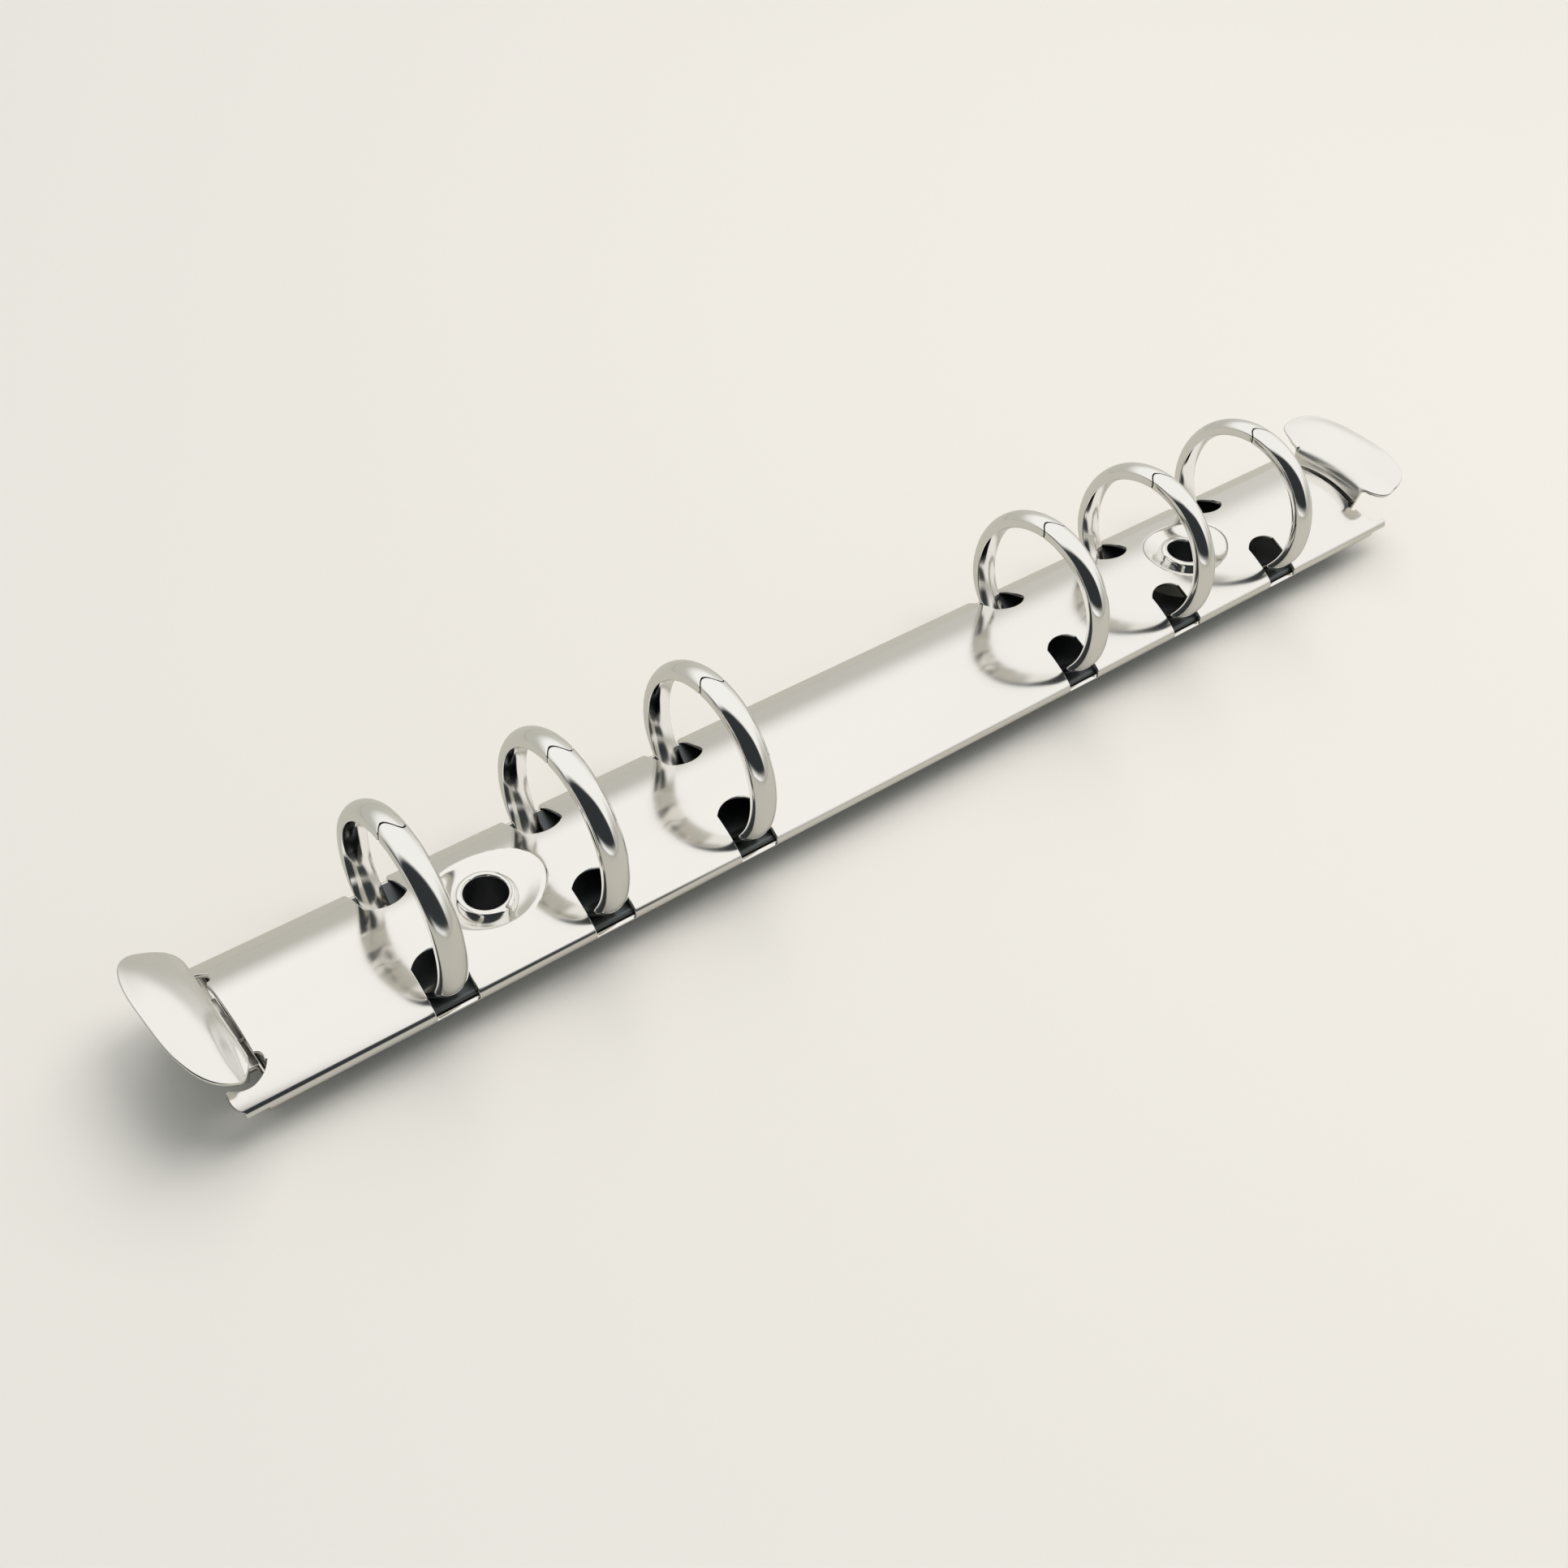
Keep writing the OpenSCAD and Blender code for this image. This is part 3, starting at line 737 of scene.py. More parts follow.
@dataclass
class Housing:
    """Arched housing: pressed sheet with rolled hems, slots, dimples and corner ears.

    Attributes:
        spine: Driving sizes.
        slot_w: Width of the ring slots.
        slot_shift: Shift of the slots along the spine from their rings.
        slot_in: Distance of the slots' inner ends from the middle.
        slot_r: Radius of the slots' inner ends.
        slot_drop: Depth of the slots below the hinge line.
        ear_l: Length of the ears past the body.
        ear_in: Distance of the ears' inner sides from the middle.
        relief_r: Radius of the relief notch at the ears' roots.
        hem_end: Length of the hems past the body.
        dimple_r: Radius of the dimples' flat floor.
        dimple_h: Depth of the dimples.
        dimple_slope: Width of the dimples' walls.
        dimple_floor_soft: Width over which the floor passes into the wall.
        dimple_rim_soft: Width over which the wall passes into the arch.
        dimple_reach: Distance past the wall that the pressing still reaches.
        hole_r: Radius of the holes for the posts.
        ear_inset: Distance inward from the housing's side at which the ears' tips start.
        edge_r: Radius of the sheet's rounded edges.
        column_step: Step of the grid along the spine.
        ring_step: Step of the grid outward from the middle of a dimple.
        point_step: Step of the grid round the middle of a dimple.
    """

    spine: Spine = SPINE
    slot_w: float = 4.9
    slot_shift: float = 0.5
    slot_in: float = 3.6
    slot_r: float = 3.2
    slot_drop: float = 0.2
    ear_l: float = 4.1
    ear_in: float = 6.05
    relief_r: float = 0.65
    hem_end: float = 1.0
    dimple_r: float = 3.45
    dimple_h: float = 1.6
    dimple_slope: float = 3.05
    dimple_floor_soft: float = 0.6
    dimple_rim_soft: float = 0.22
    dimple_reach: float = 1.2
    hole_r: float = 2.85
    ear_inset: float = 0.2
    edge_r: float = 0.11
    column_step: float = 1.0
    ring_step: float = 0.26
    point_step: float = 0.42

    def _section(self, s: np.ndarray) -> tuple[np.ndarray, np.ndarray]:
        """Returns Y and Z of the outer face at the distance s round the cross-section."""
        k = self.spine
        a, side = np.abs(s), np.sign(s)
        turn, bend = a / k.plate_r, k.arch_phi + (a - k.arch_s) / k.hem_r
        y = np.where(a < k.arch_s, k.plate_r * np.sin(turn), k.hem_y + k.hem_r * np.sin(bend))
        z = np.where(a < k.arch_s, k.arch_z + k.plate_r * np.cos(turn), k.hem_z + k.hem_r * np.cos(bend))
        y = np.where(a > k.hem_s, k.hem_y - (a - k.hem_s), y)
        z = np.where(a > k.hem_s, k.hem_z - k.hem_r, z)
        return side * y, z

    def _round(self, y: float) -> float:
        """Returns the distance round the cross-section of a point of the arch or hem at width y."""
        k = self.spine
        edge = k.plate_r * math.sin(k.arch_phi)
        if y <= edge:
            return k.plate_r * math.asin(y / k.plate_r)
        bend = math.asin(min(1.0, (y - k.hem_y) / k.hem_r))
        return k.arch_s + k.hem_r * (bend - k.arch_phi)

    def _form(self, flat: np.ndarray) -> np.ndarray:
        """Presses flat points (along X, round the section) to the housing's outer face."""
        k = self.spine
        y, z = self._section(flat[:, 1])
        x = flat[:, 0]
        floor = k.crown_z - self.dimple_h
        reach = self.dimple_r + self.dimple_slope + self.dimple_reach
        for px in k.post_x:
            r = np.hypot(x - px, y)
            wall = floor + (r - self.dimple_r) * self.dimple_h / self.dimple_slope
            dip = soft_max(np.full_like(r, floor), wall, self.dimple_floor_soft)
            z = np.where(r < reach, soft_min(z, dip, self.dimple_rim_soft), z)
        return np.stack([x, y, z], -1)

    def _slot(self, x: float, side: int) -> np.ndarray:
        """Returns the flat path of the slot of the ring half at x on one side."""
        k = self.spine
        hw = self.slot_w / 2
        open_angle = math.degrees(math.asin(hw / self.slot_r))
        bow = arc(0, self.slot_in + self.slot_r, self.slot_r, -90 - open_angle, -90 + open_angle, 15)
        bend = math.pi / 2 + math.asin(self.slot_drop / k.hem_r)
        end = k.arch_s + k.hem_r * (bend - k.arch_phi)
        path = [(dx, self._round(y)) for dx, y in bow] + [(hw, end), (-hw, end)]
        return np.array([(x + self.slot_shift + dx, side * s) for dx, s in path])

    def _end(self, ear: Ear) -> list[Pair]:
        """Returns the +Y half of an end's path with the given ear, from the lip to the middle."""
        k = self.spine
        s_side = self._round(k.plate_w / 2)
        tip_x = self.ear_l - ear.tip_r
        tip_y = k.plate_w / 2 - self.ear_inset - ear.tip_r * math.sin(math.radians(ear.tip_start))
        hollow_x, hollow_y = ear.hollow_x, self.ear_in - ear.hollow_back
        notch_y = self.ear_in - self.relief_r / 2
        plan: list[Pair] = []
        for u, y in arc(tip_x, tip_y, ear.tip_r, ear.tip_start, -90, 31):
            if math.hypot(u - hollow_x, y - hollow_y) > ear.hollow_r:
                plan.append((u, y))
        last = plan[-1]
        start = math.degrees(math.atan2(last[1] - hollow_y, last[0] - hollow_x))
        for u, y in arc(hollow_x, hollow_y, ear.hollow_r, start, 180, 30)[1:]:
            if math.hypot(u, y - notch_y) > self.relief_r and y > self.ear_in:
                plan.append((u, y))
        last = plan[-1]
        start = math.degrees(math.atan2(last[1] - notch_y, last[0]))
        plan += [tuple(p) for p in arc(0, notch_y, self.relief_r, max(10.0, start), 270, 18)]
        ends = [(self.hem_end, k.lip_s), (self.hem_end, s_side), (plan[0][0], s_side)]
        return ends + [(u, self._round(y)) for u, y in plan]

    def _outline(self) -> np.ndarray:
        """Returns the flat path of the whole sheet, anticlockwise."""
        half = self.spine.body_l / 2
        left, right = self._end(LEFT_EAR), self._end(RIGHT_EAR)
        path = [(half + u, -s) for u, s in right] + [(half + u, s) for u, s in reversed(right)]
        path += [(-half - u, s) for u, s in left] + [(-half - u, -s) for u, s in reversed(left)]
        return np.array(path)

    def _grid(self) -> np.ndarray:
        """Returns the flat points that carry the surface, closer together round the dimples."""
        k = self.spine
        rows = np.concatenate([np.linspace(0, k.arch_s, 24), np.linspace(k.arch_s, k.lip_s, 26)[1:]])
        rows = np.concatenate([-rows[:0:-1], rows])
        end = k.body_l / 2 + self.ear_l
        columns = np.arange(-end, end, self.column_step)
        x, s = np.meshgrid(columns, rows)
        points = np.stack([x.ravel(), s.ravel()], -1)
        reach = self.dimple_r + self.dimple_slope + self.dimple_reach + 0.1
        for px in k.post_x:
            points = points[np.hypot(points[:, 0] - px, points[:, 1]) > reach]
            for r in np.arange(self.hole_r + 0.35, reach - 0.1, self.ring_step):
                ring = arc(px, 0, r, 0, 360, int(2 * math.pi * r / self.point_step))[:-1]
                points = np.vstack([points, ring])
        return points

    def build(self) -> None:
        """Builds and dresses the housing."""
        k = self.spine
        holes = [self._slot(x, side) for x in k.ring_x for side in (-1, 1)]
        holes += [arc(px, 0, self.hole_r, 0, 360, 49)[:-1] for px in k.post_x]
        sheet = PressedSheet(self._form, self._outline(), holes, self._grid(), k.sheet_t, self.edge_r)
        HOUSING_FINISH.dress(sheet.shape().piece("arched_housing"), "housing", "housing")


class Row(enum.Enum):
    """The two rows of ring halves."""

    NEAR = -1
    FAR = 1


@dataclass
class RingHalf:
    """One half of a ring: drawn wire with a crowned face, an S-shaped joint and a riveted foot.

    Attributes:
        index: Place of the ring, 1 to 6 from the left.
        row: Row that the half belongs to.
        spine: Driving sizes.
        seam_reach: Reach of the joint's S to each side of its middle.
        seam_mid: Distance of the joint's middle towards the far side.
        seam_gap: Width of the joint.
        edge_r: Radius of the edges at the joint.
        face_share: Radius of the wire's outer face, as a share of its width.
        back_share: Radius of the wire's inner face, as a share of its width.
        foot_t: Least thickness of the drawn-in foot.
        foot_r: Radius of the curve that draws the foot's outer face in.
        foot_turn: Angle below the ring's centre at which that curve starts, in degrees.
        foot_in: Distance of the tenon inward from the hinge line.
        tenon_r: Radius of the tenon.
        head_r: Radius of the tenon's head.
        head_t: Thickness of that head.
        tenon_over: Height of the tenon above the hinge plate.
        steps: Rows of points from the foot to the joint.
        joint_faces: Faces at the joint, filled in when the wire is built.
    """

    index: int
    row: Row
    spine: Spine = SPINE
    seam_reach: float = 0.8
    seam_mid: float = 0.3
    seam_gap: float = 0.17
    edge_r: float = 0.1
    face_share: float = 0.62
    back_share: float = 1.4
    foot_t: float = 1.15
    foot_r: float = 7.0
    foot_turn: float = 8.0
    foot_in: float = 2.0
    tenon_r: float = 0.55
    head_r: float = 0.75
    head_t: float = 0.35
    tenon_over: float = 0.3
    steps: int = 84
    joint_faces: list[int] = field(default_factory=list)

    def _section(self) -> tuple[np.ndarray, int]:
        """Returns the wire's section as (radial offset, spine offset) and the sum of paired indices."""
        k = self.spine
        hw = k.ring_w / 2
        face_r, back_r = k.ring_w * self.face_share, k.ring_w * self.back_share
        xi = np.array([-1.0, -0.86, -0.6, -0.3, 0.0, 0.3, 0.6, 0.86, 1.0]) * hw
        outer = k.ring_t / 2 - face_r + np.sqrt(face_r**2 - xi**2)
        inner = -k.ring_t / 2 + back_r - np.sqrt(back_r**2 - xi**2)
        path = np.vstack([np.stack([outer, xi], -1), np.stack([inner, xi], -1)[::-1]])
        pair_sum = len(path) - 1
        for _ in range(2):
            ahead = np.roll(path, -1, 0)
            path = np.stack([0.75 * path + 0.25 * ahead, 0.25 * path + 0.75 * ahead], 1).reshape(-1, 2)
            pair_sum = 2 * pair_sum - 1
        return path, pair_sum

    def _drawn_in(self, r: np.ndarray, angle: np.ndarray) -> np.ndarray:
        """Returns the radii with the outer face drawn in towards the foot."""
        k = self.spine
        inner, outer = k.ring_od / 2 - k.ring_t, k.ring_od / 2
        reach = outer - self.foot_r
        below = np.minimum(angle + math.radians(self.foot_turn), 0.0)
        limit = reach * np.cos(below) + np.sqrt(np.maximum(self.foot_r**2 - (reach * np.sin(below)) ** 2, 0.0))
        limit = soft_max(limit, np.full_like(limit, inner + self.foot_t), 0.3)
        return inner + (r - inner) * np.minimum((limit - inner) / (outer - inner), 1.0)

    def _foot_angle(self, r: np.ndarray) -> np.ndarray:
        """Returns the angle at which each line of the wire meets its hinge plate."""
        k = self.spine
        dip = math.radians(k.closed_dip)
        drop = k.blade_t / 2 - k.hem_y * math.sin(dip) - (k.ring_z - k.hem_z) * math.cos(dip)
        angle = np.full_like(r, -0.8)
        for _ in range(8):
            angle = dip + np.arcsin(np.clip(drop / self._drawn_in(r, angle), -1, 1))
        return angle

    def _seam(self, xi: np.ndarray) -> np.ndarray:
        """Returns how far past the middle the joint lies at each spine offset, for this half."""
        k, side = self.spine, self.row.value
        wave = self.seam_mid - self.seam_reach * np.sin(2 * np.pi * np.clip(side * xi / k.ring_w, -0.5, 0.5))
        return side * wave + self.seam_gap / 2

    def _rows(self, section: np.ndarray) -> list[tuple[np.ndarray, np.ndarray]]:
        """Returns the angles and the section of each row of the wire, with a rounded edge at the joint."""
        ahead = unit(np.roll(section, -1, 0) - np.roll(section, 1, 0))
        out = np.stack([ahead[:, 1], -ahead[:, 0]], -1)
        if np.sum(out * section) < 0:
            out = -out
        r0 = self.spine.ring_r + section[:, 0]
        low = self._foot_angle(r0)
        high = np.arccos(np.clip(self._seam(section[:, 1]) / r0, -1, 1))
        span = high - self.edge_r / r0 - low
        rows = [(low + share * span, section) for share in np.linspace(0, 1, self.steps)[:-1]]
        for degrees in (0, 30, 60, 90):
            t = math.radians(degrees)
            angle = high - self.edge_r * (1 - math.sin(t)) / r0
            rows.append((angle, section - out * self.edge_r * (1 - math.cos(t))))
        return rows

    def _wire(self) -> Shape:
        """Sweeps the wire from the hinge plate to the joint."""
        k = self.spine
        section, pair_sum = self._section()
        n = len(section)
        grid = []
        for angle, cut in self._rows(section):
            r = self._drawn_in(k.ring_r + cut[:, 0], angle)
            grid.append(np.stack([cut[:, 1], r * np.cos(angle), k.ring_z + r * np.sin(angle)], -1))
        points = np.array(grid)
        along = np.gradient(points, axis=0)
        around = np.roll(points, -1, 1) - np.roll(points, 1, 1)
        normals = unit(np.cross(along, around))
        middle = points.mean(1, keepdims=True)
        flipped = np.sum(normals * (points - middle)) < 0
        if flipped:
            normals = -normals
        m = len(points)
        faces = []
        for i in range(m - 1):
            for j in range(n):
                h = (j + 1) % n
                face = (i * n + j, i * n + h, (i + 1) * n + h, (i + 1) * n + j)
                faces.append(face if flipped else face[::-1])
        body = Shape(points.reshape(-1, 3), faces, normals.reshape(-1, 3))
        body = body.joined(self._cap(points[0], pair_sum, -unit(along[1]).mean(0)))
        first_cap = len(body.faces)
        body = body.joined(self._cap(points[-1], pair_sum, unit(along[-2]).mean(0)))
        self.joint_faces = [*range((m - 2) * n, (m - 1) * n), *range(first_cap, len(body.faces))]
        return body

    def _cap(self, ring: np.ndarray, pair_sum: int, normal: np.ndarray) -> Shape:
        """Closes one end of the wire with strips between paired points."""
        n = len(ring)
        faces = []
        for a in range((pair_sum - n + 1) // 2, (pair_sum - 1) // 2):
            faces.append(tuple(i % n for i in (a, a + 1, pair_sum - a - 1, pair_sum - a)))
        p = ring[list(faces[len(faces) // 2])]
        if np.dot(np.cross(p[1] - p[0], p[2] - p[1]), normal) < 0:
            faces = [f[::-1] for f in faces]
        return Shape(ring, faces, np.repeat(normal[None], n, 0))

    def _rivet(self) -> Shape:
        """Builds the tenon through the hinge plate and the head below it."""
        k = self.spine
        t = k.blade_t / 2
        low, high = -t - self.head_t, t + self.tenon_over
        corners = [
            (AXIS_R, low), (self.head_r, low), (self.head_r, -t),
            (self.tenon_r, -t), (self.tenon_r, high), (AXIS_R, high),
        ]
        profile = rounded(corners, 0.12, 3)
        dip = math.radians(k.closed_dip)
        turn = np.array([[1, 0, 0], [0, math.cos(dip), -math.sin(dip)], [0, math.sin(dip), math.cos(dip)]])
        foot = (0, k.hem_y - self.foot_in, k.hem_z - self.foot_in * math.tan(dip))
        return lathe(profile, 32).moved(turn, foot)

    def build(self) -> None:
        """Builds and dresses the ring half."""
        side = self.row.value
        shape = self._wire().joined(self._rivet())
        shape = shape.moved(np.diag([side, side, 1.0]), (self.spine.ring_x[self.index - 1], 0, 0))
        word = self.row.name.lower()
        piece = shape.piece(f"{word}_ring_half_{self.index}")
        RING_FINISH.dress(piece, f"{word}_plate", f"ring_{word}_{self.index}")
        # The joint faces get the dark grey: painted shade in the joint.
        JOINT_SHADE_FINISH.add_to(piece, self.joint_faces)


@dataclass
class Lever:
    """Thumb lever: a domed pad on a bent neck, with journals in the hems and jaws on the plates.

    Attributes:
        side: End of the mechanism that it sits at.
        spine: Driving sizes.
        pad_w: Width of the pad.
        pad_shift: Sideways shift of the pad from the neck.
        pad_turn: Turn of the pad seen from above, in degrees.
        pad_reach: Length from the body's end to the pad's tip.
        pad_waist: Distance past the body at which the pad reaches its full width.
        pad_start: Distance past the body at which the pad begins to widen.
        pad_power: Power of the curve that rounds the pad's outline.
        pad_edge_z: Height of the tip above the crown.
        shelf_z: Height of the pad's inner side above the crown.
        shelf_drop: Fall of that inner side towards its corners.
        side_drop: Fall of the pad's sides.
        bulge_h: Height of the dome.
        bulge_at: Place of the dome's middle, as a share of the reach.
        bulge_half: Half length of the dome, as a share of the reach.
        bulge_soft: Rounding where the dome starts.
        sheet_t: Thickness of the sheet.
        neck_w: Width of the neck where it meets the pad.
        neck_foot_w: Width of the neck at its foot.
        neck_gap: Distance of the neck from the body's end.
        neck_foot: Depth of the neck's foot below the hinge line.
        neck_taper: Power of the curve along which the neck widens.
        bend_r: Radius of the bend at the neck's sides.
        bend_more: Radius added in the middle of the bend.
        bend_even: Power of the fall of that radius towards the sides.
        journal_r: Radius of the journals.
        edge_r: Radius of the sheet's rounded edges.
        grid_step: Step of the sheet's grid.
        jaw_c: Middle of the jaws, along and up from the journals.
        jaw_tilt: Backward lean of the closed jaws, in degrees.
        jaw_span: Distance between the two jaw noses.
        nose_r: Radius of the jaw noses.
        jaw_hw: Half width of the jaws.
        hub_x: Half length of the hub between the jaws and the neck.
        hub_top: Height of the upper finger above the journals.
        hub_slope: Distance from the journals towards the pad at which the hub's top starts to fall.
        hub_back: Distance behind the journals at which the upper finger starts to narrow.
        jaw_lip: Height of the hub above the middle of the upper nose.
    """

    side: Side
    spine: Spine = SPINE
    pad_w: float = 19.2
    pad_shift: float = 0.85
    pad_turn: float = 2.8
    pad_reach: float = 7.75
    pad_waist: float = 3.7
    pad_start: float = 0.5
    pad_power: float = 2.7
    pad_edge_z: float = 4.05
    shelf_z: float = 2.3
    shelf_drop: float = 1.5
    side_drop: float = 0.4
    bulge_h: float = 1.3
    bulge_at: float = 0.6
    bulge_half: float = 0.42
    bulge_soft: float = 0.35
    sheet_t: float = 0.6
    neck_w: float = 11.7
    neck_foot_w: float = 9.6
    neck_gap: float = 0.75
    neck_foot: float = 0.5
    neck_taper: float = 0.8
    bend_r: float = 0.9
    bend_more: float = 1.2
    bend_even: float = 0.75
    journal_r: float = 0.45
    edge_r: float = 0.2
    grid_step: float = 0.3
    jaw_c: Pair = (-4.505, -0.880)
    jaw_tilt: float = 18.0
    jaw_span: float = 2.1
    nose_r: float = 0.3
    jaw_hw: float = 1.6
    hub_x: float = 1.6
    hub_top: float = 1.1
    hub_slope: float = 0.9
    hub_back: float = 2.2
    jaw_lip: float = 0.1

    def _half_width(self, u: np.ndarray) -> np.ndarray:
        """Returns the pad's half width at the distance u past the body."""
        grow = np.sin(np.clip((u - self.pad_start) / (self.pad_waist - self.pad_start), 0, 1) * math.pi / 2)
        inner = self.neck_w / 2 + (self.pad_w - self.neck_w) / 2 * grow
        fall = np.clip((u - self.pad_waist) / (self.pad_reach - self.pad_waist), 0, 1)
        outer = self.pad_w / 2 * (1 - fall**self.pad_power) ** (1 / self.pad_power)
        return np.where(u <= self.pad_waist, inner, outer)

    def _pad_z(self, u: np.ndarray, v: np.ndarray) -> np.ndarray:
        """Returns the pad's height above the crown at u past the body and v across."""
        t, q = u / self.pad_reach, 2 * v / self.pad_w
        dome = 1 - ((t - self.bulge_at) / self.bulge_half) ** 2 - q * q
        bulge = soft_max(dome, np.zeros_like(t), self.bulge_soft)
        base = (self.shelf_z - self.shelf_drop * q * q) * (1 - t) + self.pad_edge_z * t
        return base + self.bulge_h * bulge - self.side_drop * q**4

    def _lengths(self) -> Pair:
        """Returns the flat distances at which the neck ends and the pad begins."""
        k = self.spine
        rise = k.crown_z + self.shelf_z - self.bend_r - (k.hem_z - self.neck_foot)
        return rise, rise + self.bend_r * math.pi / 2

    def _form(self, flat: np.ndarray) -> np.ndarray:
        """Bends flat points (up the neck and out along the pad, across) to the lever's face."""
        k = self.spine
        w, v = flat.T
        rise, pad_at = self._lengths()
        middle = np.clip(1 - (2 * v / self.neck_w) ** 2, 0, 1) ** self.bend_even
        radius = self.bend_r + self.bend_more * middle
        u0, step = self.neck_gap + radius, 0.2
        for _ in range(3):
            slope = np.arctan((self._pad_z(u0 + step, v) - self._pad_z(u0, v)) / step)
            u0 = self.neck_gap + radius * (1 - np.sin(slope))
        turn = math.pi / 2 - slope
        foot = k.hem_z - self.neck_foot
        top = k.crown_z + self._pad_z(u0, v)
        up = np.clip(w / rise, None, 1.0)
        bend = np.clip((w - rise) / self.bend_r * 2 / math.pi, 0, 1) * turn
        stretch = (self.pad_reach - u0) / (self.pad_reach - self.neck_gap - self.bend_r)
        u = np.maximum(w - pad_at, 0.0) * stretch + u0
        neck = foot + (top - radius * np.sin(turn) - foot) * up
        x = np.where(w < rise, self.neck_gap, u0 + radius * (np.cos(turn) - np.cos(bend)))
        z = np.where(w < rise, neck, top + radius * (np.sin(bend) - np.sin(turn)))
        x = np.where(w > pad_at, u, x)
        z = np.where(w > pad_at, k.crown_z + self._pad_z(u, v), z)
        start = self.neck_gap + self.bend_r
        share = np.clip((np.where(w > pad_at, u, start) - start) / (self.pad_waist - start), 0, 1)
        share = share * share * (3 - 2 * share)
        x = x - v * math.tan(math.radians(self.pad_turn)) * share
        return np.stack([k.body_l / 2 + x, v + self.pad_shift * share, z], -1)

    def _outline(self) -> np.ndarray:
        """Returns the flat path of the lever sheet."""
        rise, pad_at = self._lengths()
        u0 = self.neck_gap + self.bend_r
        w_neck = np.linspace(0, rise, 18)
        foot_share = self.neck_foot_w / self.neck_w
        at_bend = self._half_width(np.array([self.neck_gap]))
        neck = at_bend * (foot_share + (1 - foot_share) * (w_neck / rise) ** self.neck_taper)
        bend = np.linspace(0, math.pi / 2, 7)[1:]
        w_bend = rise + bend * self.bend_r
        bend_hw = self._half_width(u0 - self.bend_r * np.cos(bend))
        u_in = np.linspace(u0, self.pad_waist, 12)[1:]
        t = np.radians(np.linspace(0, 90, 34)[1:])
        u_out = self.pad_waist + (self.pad_reach - self.pad_waist) * np.sin(t) ** (2 / self.pad_power)
        out_hw = self.pad_w / 2 * np.maximum(np.cos(t), 0) ** (2 / self.pad_power)
        w = np.concatenate([w_neck, w_bend, pad_at + u_in - u0, pad_at + u_out - u0])
        hw = np.concatenate([neck, bend_hw, self._half_width(u_in), out_hw])
        right = np.stack([w, -hw], -1)
        left = np.stack([w, hw], -1)[::-1][1:]
        return np.vstack([right, left])

    def _jaws(self) -> Shape:
        """Builds the hub, the two jaw fingers and the journal rod."""
        k = self.spine
        tilt = math.radians(self.jaw_tilt)
        reach = np.array([-math.sin(tilt), math.cos(tilt)]) * self.jaw_span / 2
        low, high = np.array(self.jaw_c) - reach, np.array(self.jaw_c) + reach
        r, lip = self.nose_r, self.jaw_lip
        corners = [
            (low[0] - r, low[1] - r), (self.hub_x, low[1] - r), (self.hub_x, high[1] + lip),
            (self.hub_slope, self.hub_top), (-self.hub_back, self.hub_top),
            (high[0], high[1] + r), (high[0] - r, high[1]), (high[0], high[1] - r),
            (high[0] + r, high[1] + lip), (-self.hub_x, high[1] + lip), (-self.hub_x, low[1] + r),
            (low[0] - r, low[1] + r),
        ]
        hub = slab(rounded(corners, 0.25, 4), self.jaw_hw)
        rod_r, rod_l = self.journal_r, k.hem_y + self.journal_r
        ends = [(AXIS_R, -rod_l), (rod_r, -rod_l), (rod_r, rod_l), (AXIS_R, rod_l)]
        rod = lathe(rounded(ends, 0.3, 4), 32)
        across = np.array([[1.0, 0, 0], [0, 0, 1.0], [0, -1.0, 0]])
        bar_x = k.journal_in + self.neck_gap + self.sheet_t
        sides = [(0, -rod_r), (bar_x, -rod_r), (bar_x, rod_r), (0, rod_r)]
        bar = slab(rounded(sides, 0.15, 4), self.neck_foot_w / 2)
        joined = hub.joined(rod.moved(across)).joined(bar)
        return joined.moved(np.eye(3), (k.body_l / 2 - k.journal_in, 0, k.hem_z))

    def build(self) -> None:
        """Builds and dresses the lever."""
        pad_at = self._lengths()[1]
        step, half_w = self.grid_step, self.pad_w / 2
        lengths = np.arange(step / 2, pad_at + self.pad_reach, step)
        w, v = np.meshgrid(lengths, np.arange(-half_w, half_w + 0.1, step))
        grid = np.stack([w.ravel(), v.ravel()], -1)
        outline = self._outline()
        grid = grid[inside(grid, outline)]
        sheet = PressedSheet(self._form, outline, [], grid, self.sheet_t, self.edge_r, edge_step=step)
        side = self.side.value
        shape = sheet.shape().joined(self._jaws()).moved(np.diag([side, side, 1.0]))
        word = self.side.name.lower()
        LEVER_FINISH.dress(shape.piece(f"thumb_lever_{word}"), f"lever_{word}", f"lever_{word}")


